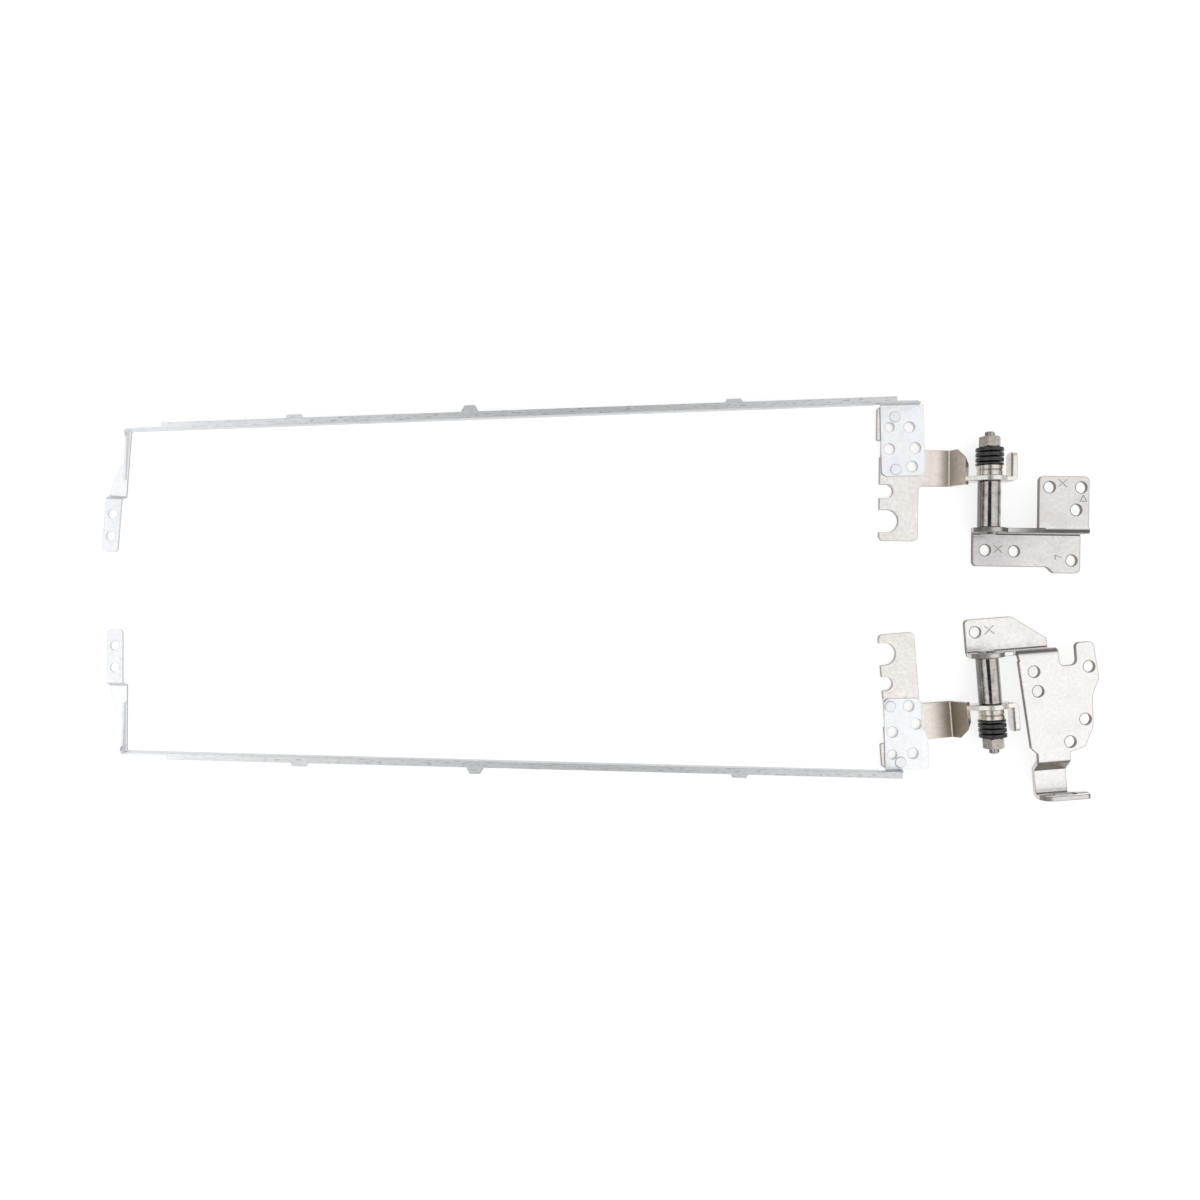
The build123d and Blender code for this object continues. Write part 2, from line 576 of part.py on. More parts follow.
def left_base_bracket() -> Part:
    """Base bracket of the left hinge, whose high plate steps down to a tail and a foot."""
    tail_bottom = HIGH_PLATE - TAIL_DROP
    notch_right = LEFT_WALL_END + LEFT_NOTCH_WIDTH
    step_root = TAIL_STEP_START - BEND_OUTSIDE
    foot_bend = tail_bottom + BEND_OUTSIDE
    with BuildPart() as bracket:
        # The low plate, the wall and the beginning of the high plate, in section
        with BuildSketch(Plane.YZ.offset(LEFT_LOW_LEFT)):
            with BuildLine():
                FilletPolyline(
                    (-LEFT_LOW_DEPTH, 0),
                    (0, 0),
                    (0, HIGH_PLATE),
                    (2 * LEFT_NOTCH_DEPTH, HIGH_PLATE),
                    radius=(BEND_OUTSIDE, BEND_INSIDE),
                )
                offset(amount=BRACKET_SHEET, side=Side.LEFT)
            make_face()
        extrude(amount=LEFT_WALL_END - LEFT_LOW_LEFT)
        with BuildSketch():
            with BuildLine():
                FilletPolyline(
                    (LEFT_LOW_LEFT, 0),
                    (LEFT_LOW_LEFT, -LEFT_LOW_DEPTH),
                    (LEFT_LOW_TOP_END, -LEFT_LOW_DEPTH),
                    (LEFT_WALL_END, LEFT_LOW_SLANT_END),
                    (LEFT_WALL_END, LEFT_NOTCH_DEPTH - LEFT_NOTCH_CORNER),
                    (LEFT_WALL_END, 2 * LEFT_NOTCH_DEPTH),
                    (LEFT_HIGH_LEFT + BASE_CORNER, 2 * LEFT_NOTCH_DEPTH),
                    (LEFT_HIGH_LEFT, 0),
                    radius=(0, BASE_CORNER, BASE_CORNER, 0, 0, 0, 0, 0),
                    close=True,
                )
            make_face()
            with Locations(*LEFT_LOW_HOLES):
                Circle(BASE_HOLE / 2, mode=Mode.SUBTRACT)
        extrude(amount=TALL, mode=Mode.INTERSECT)

        # The high plate, which overhangs the wall beyond its round notch
        with BuildSketch(Plane.XY.offset(HIGH_PLATE)):
            with BuildLine():
                FilletPolyline(
                    (LEFT_HIGH_LEFT, BEND_OUTSIDE),
                    (LEFT_WALL_END, BEND_OUTSIDE),
                    (LEFT_WALL_END, LEFT_NOTCH_DEPTH),
                    (notch_right, LEFT_NOTCH_DEPTH),
                    (notch_right, LEFT_HIGH_EDGE[0][1]),
                    *LEFT_HIGH_EDGE,
                    (TAIL_PLATE_RIGHT, step_root),
                    (TAIL_PLATE_LEFT, step_root),
                    (LEFT_HIGH_LEFT_OUTER, step_root - BEND_OUTSIDE),
                    radius=(0, 0, LEFT_NOTCH_CORNER, LEFT_NOTCH_CORNER)
                    + (BASE_CORNER,) * (1 + len(LEFT_HIGH_EDGE))
                    + (0, 0, 0),
                    close=True,
                )
            make_face()
        extrude(amount=BRACKET_SHEET)

        # The tail: a step down, a plate, and the bend of the foot
        with BuildSketch(Plane.YZ.offset(TAIL_PLATE_LEFT)):
            with BuildLine():
                FilletPolyline(
                    (step_root - BEND_OUTSIDE, HIGH_PLATE),
                    (TAIL_STEP_START, HIGH_PLATE),
                    (TAIL_STEP_END, tail_bottom),
                    (TAIL_PLATE_END, tail_bottom),
                    (TAIL_PLATE_END, foot_bend + BEND_INSIDE),
                    radius=(BEND_INSIDE, BEND_OUTSIDE, BEND_OUTSIDE),
                )
                offset(amount=BRACKET_SHEET, side=Side.LEFT)
            make_face()
        extrude(amount=TAIL_PLATE_RIGHT - TAIL_PLATE_LEFT)

        # The upturned foot with its slot
        with BuildSketch(across(TAIL_PLATE_END)):
            with BuildLine():
                FilletPolyline(
                    (TAIL_PLATE_LEFT, foot_bend),
                    (FOOT_RIGHT, foot_bend),
                    (FOOT_RIGHT, tail_bottom + FOOT_HEIGHT),
                    (TAIL_PLATE_LEFT, tail_bottom + FOOT_HEIGHT),
                    radius=(0, BEND_INSIDE, FOOT_CORNER, 2 * FOOT_CORNER),
                    close=True,
                )
            make_face()
            with Locations((FOOT_SLOT_PLACE, tail_bottom + FOOT_HEIGHT - BRACKET_SHEET)):
                SlotOverall(
                    FOOT_SLOT_LENGTH,
                    FOOT_SLOT_WIDTH,
                    align=(Align.CENTER, Align.MAX),
                    mode=Mode.SUBTRACT,
                )
        extrude(amount=BRACKET_SHEET)

        # The screw holes of the high plate
        with BuildSketch(Plane.XY.offset(HIGH_PLATE)):
            with Locations(*LEFT_HIGH_HOLES):
                Circle(BASE_HOLE / 2)
        extrude(amount=BRACKET_SHEET, mode=Mode.SUBTRACT)

        # The round ear on the wall, and the relief beside the high plate's bend
        with BuildSketch(across(0)):
            with Locations((0, AXIS_HEIGHT)):
                Circle(BASE_EAR_RADIUS)
            with Locations((0, BEND_OUTSIDE)):
                Rectangle(LEFT_HIGH_LEFT, WALL_TOP - BEND_OUTSIDE, align=Align.MIN)
        extrude(amount=BRACKET_SHEET)
        with BuildSketch(across(0)):
            with Locations((0, AXIS_HEIGHT)):
                Circle(STAKE_DIAMETER / 2)
            with Locations((LEFT_HIGH_LEFT, WALL_TOP + BRACKET_SHEET)):
                Rectangle(
                    LEFT_RELIEF_WIDTH,
                    LEFT_RELIEF_DEPTH + BRACKET_SHEET,
                    align=Align.MAX,
                )
        extrude(amount=BRACKET_SHEET, mode=Mode.SUBTRACT)
    return bracket.part


def hinge_shaft() -> Part:
    """Turned shaft: stake in the base ear, barrel, tail with two flats and a threaded end."""
    with BuildPart() as shaft:
        with BuildSketch(Plane.XY.offset(AXIS_HEIGHT)):
            with BuildLine():
                Polyline(
                    (0, -BRACKET_SHEET - STAKE_HEAD_HEIGHT),
                    (STAKE_DIAMETER / 2, -BRACKET_SHEET - STAKE_HEAD_HEIGHT),
                    (STAKE_HEAD_DIAMETER / 2, -BRACKET_SHEET),
                    (STAKE_DIAMETER / 2, -BRACKET_SHEET),
                    (STAKE_DIAMETER / 2, 0),
                    (BARREL_DIAMETER / 2 - SHAFT_EDGE, 0),
                    (BARREL_DIAMETER / 2, SHAFT_EDGE),
                    (BARREL_DIAMETER / 2, BARREL_LENGTH - SHAFT_EDGE),
                    (BARREL_DIAMETER / 2 - SHAFT_EDGE, BARREL_LENGTH),
                    (TAIL_DIAMETER / 2, BARREL_LENGTH),
                    (TAIL_DIAMETER / 2, TAIL_END),
                    (THREAD_DIAMETER / 2, TAIL_END),
                    (THREAD_DIAMETER / 2, SHAFT_END - SHAFT_EDGE),
                    (THREAD_DIAMETER / 2 - SHAFT_EDGE, SHAFT_END),
                    (0, SHAFT_END),
                    close=True,
                )
            make_face()
        revolve(axis=SHAFT_AXIS)

        # The two flats beyond the display ear
        with BuildSketch(across(TAIL_END)):
            with Locations((0, AXIS_HEIGHT)):
                Circle(TAIL_DIAMETER)
                Rectangle(2 * TAIL_DIAMETER, TAIL_FLATS, mode=Mode.SUBTRACT)
        extrude(amount=TAIL_END - EAR_OUT, mode=Mode.SUBTRACT)
    return shaft.part


def keyed_washer(near: float, sheet: float) -> Part:
    """Round washer whose bore has the two flats of the tail."""
    with BuildPart() as washer:
        with BuildSketch(across(near + sheet)):
            with Locations((0, AXIS_HEIGHT)):
                Circle(WASHER_DIAMETER / 2)
        extrude(amount=sheet)
        chamfer(washer.edges(), WASHER_EDGE)
        with BuildSketch(across(near + sheet)):
            with Locations((0, AXIS_HEIGHT)):
                Circle(TAIL_DIAMETER / 2 + SLIP_CLEARANCE)
                Rectangle(2 * TAIL_DIAMETER, TAIL_FLATS + 2 * SLIP_CLEARANCE, mode=Mode.INTERSECT)
        extrude(amount=sheet, mode=Mode.SUBTRACT)
    return washer.part


def disc_spring(index: int) -> Part:
    """Conical washer of the stack; each one is turned over against the one before."""
    near = SPRINGS_IN + index * SPRING_PITCH
    bore = TAIL_DIAMETER / 2 + SLIP_CLEARANCE
    rim = SPRING_DIAMETER / 2
    rim_rise = SPRING_RISE if index % 2 else 0
    bore_rise = SPRING_RISE - rim_rise
    with BuildPart() as spring:
        with BuildSketch(Plane.XY.offset(AXIS_HEIGHT)):
            with BuildLine():
                Polyline(
                    (bore, near + bore_rise),
                    (rim, near + rim_rise),
                    (rim, near + rim_rise + SPRING_SHEET),
                    (bore, near + bore_rise + SPRING_SHEET),
                    close=True,
                )
            make_face()
        revolve(axis=SHAFT_AXIS)
    return spring.part


def lock_nut() -> Part:
    """Hexagon nut with both ends chamfered, tight on the tail's thread."""
    corner = NUT_ACROSS_FLATS / sqrt(3)
    with BuildPart() as nut:
        with BuildSketch(across(NUT_OUT)):
            with Locations((0, AXIS_HEIGHT)):
                RegularPolygon(NUT_ACROSS_FLATS / 2, 6, major_radius=False)
        extrude(amount=NUT_HEIGHT)
        with BuildSketch(Plane.XY.offset(AXIS_HEIGHT)):
            with BuildLine():
                Polyline(
                    (0, NUT_IN),
                    (corner - NUT_CHAMFER, NUT_IN),
                    (corner, NUT_IN + NUT_CHAMFER / 2),
                    (corner, NUT_OUT - NUT_CHAMFER / 2),
                    (corner - NUT_CHAMFER, NUT_OUT),
                    (0, NUT_OUT),
                    close=True,
                )
            make_face()
        revolve(axis=SHAFT_AXIS, mode=Mode.INTERSECT)
        with BuildSketch(across(NUT_OUT)):
            with Locations((0, AXIS_HEIGHT)):
                Circle(THREAD_DIAMETER / 2)
        extrude(amount=NUT_HEIGHT, mode=Mode.SUBTRACT)
    return nut.part


def hinge(hand: Hand, base_bracket: Part) -> dict[str, Part]:
    """All pieces of one hinge, placed on the table as it lies there."""
    pieces = {
        "display_rail": display_rail(hand),
        "display_bracket": display_bracket(hand),
        "rail_rivets": rail_rivets(hand),
        "base_bracket": base_bracket,
        "hinge_shaft": hinge_shaft(),
        "friction_washer": keyed_washer(FRICTION_IN, FRICTION_WASHER_SHEET),
        "pressure_washer": keyed_washer(PRESSURE_IN, PRESSURE_WASHER_SHEET),
        "lock_nut": lock_nut(),
    }
    for index in range(SPRING_COUNT):
        pieces[f"disc_spring_{index + 1}"] = disc_spring(index)
    place = Location((*hand.origin, 0), (0, 0, hand.turn))
    placed = {}
    for name, piece in pieces.items():
        if hand.mirrored:
            piece = mirror(piece, about=Plane.XZ)
        placed[f"{hand.name}_{name}"] = piece.moved(place)
    return placed


# The pair as it lies on the table, centred over the middle of its own outline
pair = hinge(RIGHT, right_base_bracket()) | hinge(LEFT, left_base_bracket())
boxes = [piece.bounding_box() for piece in pair.values()]
middle = Vector(
    (min(box.min.X for box in boxes) + max(box.max.X for box in boxes)) / 2,
    (min(box.min.Y for box in boxes) + max(box.max.Y for box in boxes)) / 2,
)
os.makedirs("parts", exist_ok=True)
for name, piece in pair.items():
    piece = piece.moved(Location(-middle))
    piece.label = name
    export_step(piece, f"parts/{name}.step")
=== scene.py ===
"""Looks of the laptop hinge pair: finishes, die marks, thread, hole rims, table, light, camera."""

import json
import logging
import math
from dataclasses import dataclass, field, replace
from enum import Enum
from functools import reduce
from typing import Any, Iterable, Sequence, Union

import bpy
from mathutils import Matrix, Vector


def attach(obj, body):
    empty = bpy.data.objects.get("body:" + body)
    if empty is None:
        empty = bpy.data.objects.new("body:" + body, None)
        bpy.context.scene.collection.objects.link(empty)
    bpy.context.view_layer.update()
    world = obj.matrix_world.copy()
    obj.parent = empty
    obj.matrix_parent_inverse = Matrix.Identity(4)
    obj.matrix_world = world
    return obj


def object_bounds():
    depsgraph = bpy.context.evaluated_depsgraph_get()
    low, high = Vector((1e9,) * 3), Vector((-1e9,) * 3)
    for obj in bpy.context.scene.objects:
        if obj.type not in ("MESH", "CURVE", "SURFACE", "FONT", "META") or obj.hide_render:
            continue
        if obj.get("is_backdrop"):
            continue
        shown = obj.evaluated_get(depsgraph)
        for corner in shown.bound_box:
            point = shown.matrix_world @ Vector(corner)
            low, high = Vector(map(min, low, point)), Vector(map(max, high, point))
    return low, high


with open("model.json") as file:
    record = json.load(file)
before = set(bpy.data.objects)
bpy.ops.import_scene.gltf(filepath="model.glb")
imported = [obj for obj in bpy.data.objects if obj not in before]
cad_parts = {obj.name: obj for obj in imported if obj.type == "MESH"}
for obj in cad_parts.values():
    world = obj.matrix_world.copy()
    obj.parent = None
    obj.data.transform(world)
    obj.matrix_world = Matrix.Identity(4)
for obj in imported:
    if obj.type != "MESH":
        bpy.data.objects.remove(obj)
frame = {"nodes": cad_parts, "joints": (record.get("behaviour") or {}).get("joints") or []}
CAD_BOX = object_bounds()

LOG = logging.getLogger("laptop_hinge_pair")
MM = 0.001
Colour = tuple[float, float, float]
Point2 = tuple[float, float]

# Sockets of the Mix node when it mixes colours
MIX_SHARE, MIX_FIRST, MIX_SECOND, MIX_RESULT = 0, 6, 7, 2
NOISE_ROUGHNESS = 0.58
EDGE_SAMPLES, OUTLINE_SHADE_SAMPLES = 4, 6
STREAK_STRETCH, FLECK_STRETCH, SHEAR_STRETCH = (0.2, 1, 1), (0.22, 1, 1), (1, 1, 0.25)
WHITE = (1.0, 1.0, 1.0, 1.0)
ACROSS, ALONG_SHAFT = Vector((1, 0, 0)), Vector((0, 1, 0))


class Body(Enum):
    """The rigid bodies of the pair."""

    BASES = "hinge_bases"
    RIGHT_DISPLAY = "right_display_side"
    LEFT_DISPLAY = "left_display_side"


class Slot(Enum):
    """The record's material slots that match the finishes of new pieces."""

    GALVANISED = "galvanised_steel"
    NICKEL = "nickel_plate"
    DARK_STEEL = "dark_steel"


class MarkShape(Enum):
    """Plain marks that the press leaves on a bracket, as strokes on a square of side 1."""

    CROSS = (((-0.5, -0.45), (0.5, 0.45)), ((-0.5, 0.45), (0.5, -0.45)))
    TRIANGLE = (((-0.5, 0.0), (0.4, 0.5)), ((0.4, 0.5), (0.4, -0.5)), ((0.4, -0.5), (-0.5, 0.0)))
    SEVEN = (((-0.35, 0.5), (0.35, 0.5)), ((0.35, 0.5), (-0.1, -0.5)))


class Wire:
    """A shader socket that takes part in Python arithmetic."""

    def __init__(self, graph: "Graph", socket: bpy.types.NodeSocket) -> None:
        """Wrap one output socket.

        Args:
            graph: The graph that the socket's node belongs to.
            socket: The output socket.
        """
        self.graph = graph
        self.socket = socket

    def math(
        self, operation: str, *others: "Value", swap: bool = False, clamp: bool = False
    ) -> "Wire":
        """Add one Math node.

        Args:
            operation: The Math node's operation.
            others: The other operands.
            swap: Whether this wire is the last operand.
            clamp: Whether the result is kept from 0 to 1.

        Returns:
            The result.
        """
        operands = [*others, self] if swap else [self, *others]
        settings = {"operation": operation, "use_clamp": clamp}
        return self.graph.node("ShaderNodeMath", settings, dict(enumerate(operands)))

    def __add__(self, other: "Value") -> "Wire":
        """Sum."""
        return self.math("ADD", other)

    __radd__ = __add__

    def __sub__(self, other: "Value") -> "Wire":
        """Difference."""
        return self.math("SUBTRACT", other)

    def __rsub__(self, other: "Value") -> "Wire":
        """Difference, with this wire taken away."""
        return self.math("SUBTRACT", other, swap=True)

    def __mul__(self, other: "Value") -> "Wire":
        """Product."""
        return self.math("MULTIPLY", other)

    __rmul__ = __mul__

    def __abs__(self) -> "Wire":
        """Size without sign."""
        return self.math("ABSOLUTE")

    def least(self, other: "Value") -> "Wire":
        """The smaller of two values."""
        return self.math("MINIMUM", other)

    def most(self, other: "Value") -> "Wire":
        """The larger of two values."""
        return self.math("MAXIMUM", other)

    def fade(self, start: float, end: float) -> "Wire":
        """A smooth step from 0 at start to 1 at end, in either direction.

        Args:
            start: The value at which the step begins.
            end: The value at which it is complete.

        Returns:
            The step, from 0 to 1.
        """
        settings = {"interpolation_type": "SMOOTHSTEP", "clamp": True}
        inputs = {"Value": self, "From Min": start, "From Max": end, "To Min": 0.0, "To Max": 1.0}
        if start > end:
            inputs.update({"From Min": end, "From Max": start, "To Min": 1.0, "To Max": 0.0})
        return self.graph.node("ShaderNodeMapRange", settings, inputs)

    def fade_mm(self, start: float, end: float) -> "Wire":
        """The same step for a length in metres, with its limits given in millimetres."""
        return self.fade(start * MM, end * MM)


Value = Union[Wire, float]
Look = tuple[Any, Any, Wire]


class Graph:
    """Adds nodes to the tree of one material or of the world."""

    def __init__(self, tree: bpy.types.NodeTree) -> None:
        """Begin with an empty tree.

        Args:
            tree: The tree, whose nodes are removed.
        """
        self.tree = tree
        tree.nodes.clear()

    def node(
        self, kind: str, settings: dict[str, Any], inputs: dict[Any, Any], output: Any = 0
    ) -> Wire:
        """Add a node.

        Args:
            kind: The node's type.
            settings: Its properties, set first.
            inputs: Values or wires by socket name or number.
            output: The output socket's name or number.

        Returns:
            The output as a wire.
        """
        made = self.tree.nodes.new(kind)
        for key, value in settings.items():
            setattr(made, key, value)
        for key, value in inputs.items():
            socket = made.inputs[key]
            if isinstance(value, Wire):
                self.tree.links.new(value.socket, socket)
            else:
                socket.default_value = value
        return Wire(self, made.outputs[output]) if len(made.outputs) else Wire(self, made.inputs[0])

    def coordinates(self, output: str = "Object") -> Wire:
        """The piece's own coordinates, or its own normals.

        Args:
            output: Which output of the Texture Coordinate node.

        Returns:
            The vector.
        """
        return self.node("ShaderNodeTexCoord", {}, {}, output)

    def vector(self, operation: str, inputs: dict[Any, Any], output: int = 0) -> Wire:
        """Add one Vector Math node.

        Args:
            operation: The node's operation.
            inputs: Operands by socket name or number.
            output: 0 for a vector, 1 for a number.

        Returns:
            The result.
        """
        return self.node("ShaderNodeVectorMath", {"operation": operation}, inputs, output)

    def dot(self, first: Wire, second: Any) -> Wire:
        """The dot product of two vectors."""
        return self.vector("DOT_PRODUCT", {0: first, 1: second}, 1)

    def part_of(self, vector: Wire, axis: str) -> Wire:
        """One component of a vector.

        Args:
            vector: The vector.
            axis: X, Y or Z.

        Returns:
            The component.
        """
        return self.node("ShaderNodeSeparateXYZ", {}, {"Vector": vector}, axis)

    def mix(self, share: Value, first: Any, second: Any) -> Wire:
        """Blend two colours.

        Args:
            share: 0 for the first colour, 1 for the second.
            first: A colour or a wire.
            second: A colour or a wire.

        Returns:
            The blend.
        """
        colours = [c if isinstance(c, Wire) else (*c, 1.0) for c in (first, second)]
        settings = {"data_type": "RGBA", "clamp_factor": True}
        inputs = {MIX_SHARE: share, MIX_FIRST: colours[0], MIX_SECOND: colours[1]}
        return self.node("ShaderNodeMix", settings, inputs, MIX_RESULT)

    def noise(
        self, place: Wire, size: float, detail: float = 3.0, stretch: Sequence[float] = (1, 1, 1)
    ) -> Wire:
        """Soft noise.

        Args:
            place: Coordinates in metres.
            size: The size of one patch in metres.
            detail: How many finer layers it has.
            stretch: Scale of the pattern along each axis.

        Returns:
            The noise, from 0 to 1.
        """
        moved = self.node("ShaderNodeMapping", {}, {"Vector": place, "Scale": tuple(stretch)})
        inputs = {
            "Vector": moved, "Scale": 1.0 / size, "Detail": detail, "Roughness": NOISE_ROUGHNESS,
        }
        return self.node("ShaderNodeTexNoise", {"noise_dimensions": "3D"}, inputs, "Fac")

    def stroke(self, place: Wire, start: Vector, end: Vector) -> Wire:
        """Distance from a straight stroke.

        Args:
            place: Coordinates in metres.
            start: One end of the stroke.
            end: The other end.

        Returns:
            The distance in metres.
        """
        run = end - start
        from_start = self.vector("SUBTRACT", {0: place, 1: start})
        share = self.dot(from_start, run / run.length_squared).math("ADD", 0.0, clamp=True)
        nearest = self.vector("SCALE", {0: run, "Scale": share})
        return self.vector("LENGTH", {0: self.vector("SUBTRACT", {0: from_start, 1: nearest})}, 1)


@dataclass(frozen=True)
class HingeFrame:
    """One hinge's own frame: X to the right, Y along the shaft from the base ear, Z up."""

    name: str
    joint: str
    mirrored: bool
    ear_middle: float = 12.93

    def matrix(self) -> Matrix:
        """The hinge's place on the table, from its joint.

        Returns:
            The matrix from this frame, in metres, to the pair's frame.
        """
        joint = next(j for j in frame["joints"] if j["name"] == self.joint)
        axis = Vector(joint["axis"])
        across = Vector((axis.y, -axis.x, 0.0))
        along = -axis if self.mirrored else axis
        origin = Vector(joint["pos_m"]) - along * self.ear_middle * MM
        return Matrix((
            (across.x, along.x, 0.0, origin.x),
            (across.y, along.y, 0.0, origin.y),
            (0.0, 0.0, 1.0, 0.0),
            (0.0, 0.0, 0.0, 1.0),
        ))

    def along(self, graph: Graph, place: Wire, way: Vector) -> Wire:
        """How far a surface point lies along one of this frame's axes.

        Args:
            graph: The material's graph.
            place: The piece's own coordinates.
            way: The axis in this frame.

        Returns:
            The distance from this frame's origin, in metres.
        """
        matrix = self.matrix()
        run = matrix.to_3x3() @ way
        return graph.dot(place, run) - run.dot(matrix.translation)

    def place(self, x: float, y: float, z: float) -> Vector:
        """A point given in millimetres in this frame.

        Args:
            x: To the right of the shaft's axis.
            y: Along the shaft.
            z: Above the table.

        Returns:
            The point in the pair's frame, in metres.
        """
        return self.matrix() @ (Vector((x, y, z)) * MM)


RIGHT = HingeFrame("right", "right_hinge", False)
LEFT = HingeFrame("left", "left_hinge", True)


@dataclass(frozen=True)
class DieMark:
    """A mark pressed into the top of a bracket's plate, in millimetres in its hinge's frame."""

    shape: MarkShape
    place: Point2
    level: float
    size: float
    turn: float = 0.0

    def strokes(self, hinge: HingeFrame) -> Iterable[tuple[Vector, Vector]]:
        """The mark's strokes.

        Args:
            hinge: The frame that the mark is given in.

        Returns:
            Pairs of ends in the pair's frame, in metres.
        """
        turn = Matrix.Rotation(math.radians(self.turn), 2)
        for stroke in self.shape.value:
            ends = [Vector(self.place) + turn @ (Vector(end) * self.size) for end in stroke]
            yield tuple(hinge.place(end.x, end.y, self.level) for end in ends)


# Heights above the table, in millimetres
LOW_TOP = 1.2
RAIL_PLATE_TOP = 1.7
HIGH_BOTTOM = 6.0
HIGH_TOP = 7.2
TAIL_TOP = 4.0
# Steps across a hinge, in millimetres: onto the display arm from its bend, and off the ramp's end
ARM_STEP = (-9.2, -9.5)
RAMP_STEP = (-3.9, -4.2)
RIGHT_MARKS = (
    DieMark(MarkShape.CROSS, (4.3, -5.2), LOW_TOP, 2.0),
    DieMark(MarkShape.CROSS, (18.4, 11.9), HIGH_TOP, 2.1),
    DieMark(MarkShape.TRIANGLE, (23.85, 7.9), HIGH_TOP, 1.75, -90.0),
    DieMark(MarkShape.SEVEN, (20.5, -7.2), LOW_TOP, 1.7, 92.0),
)
LEFT_MARKS = (DieMark(MarkShape.CROSS, (2.9, -6.9), LOW_TOP, 2.4),)


@dataclass(frozen=True)
class MetalFinish:
    """A metal surface: its colour and drift of colour, its gloss, grain and worn edges, in metres.

    A step is the value at which a pattern begins and the value at which it is complete.
    """

    name: str
    colour: Colour
    drift: Colour
    roughness: float
    roughness_drift: float
    patch: float
    grain: float
    grain_depth: float
    edge: float = 0.12 * MM
    metallic: float = 1.0
    patch_weight: float = 0.7
    drift_step: Point2 = (0.36, 0.66)

    def surface(self, graph: Graph, place: Wire) -> Look:
        """Colour, roughness and height of the plain surface.

        Args:
            graph: The material's graph.
            place: The piece's own coordinates.

        Returns:
            The colour, the roughness and the height from 0 to 1.
        """
        patches = graph.noise(place, self.patch, detail=4.0)
        grain = graph.noise(place, self.grain, detail=2.0)
        share = patches * self.patch_weight + grain * (1.0 - self.patch_weight)
        share = share.fade(*self.drift_step)
        colour = graph.mix(share, self.colour, self.drift)
        return colour, self.roughness + (share - 0.5) * self.roughness_drift, grain

    def material(self, name: str = "", extra: Any = None) -> bpy.types.Material:
        """Build the material.

        Args:
            name: The material's name, where it isn't the finish's own.
            extra: A function that changes colour, roughness and height, where there is more.

        Returns:
            The material.
        """
        made = bpy.data.materials.new(name or self.name)
        made.use_nodes = True
        graph = Graph(made.node_tree)
        place = graph.coordinates()
        colour, roughness, height = self.surface(graph, place)
        if extra:
            colour, roughness, height = extra(graph, place, colour, roughness, height)
        rounded = graph.node("ShaderNodeBevel", {"samples": EDGE_SAMPLES}, {"Radius": self.edge})
        bump = graph.node("ShaderNodeBump", {}, {
            "Strength": 1.0, "Distance": self.grain_depth, "Height": height, "Normal": rounded,
        })
        shader = graph.node("ShaderNodeBsdfPrincipled", {}, {
            "Base Color": colour, "Roughness": roughness, "Metallic": self.metallic,
            "Normal": bump,
        })
        graph.node("ShaderNodeOutputMaterial", {}, {"Surface": shader})
        return made


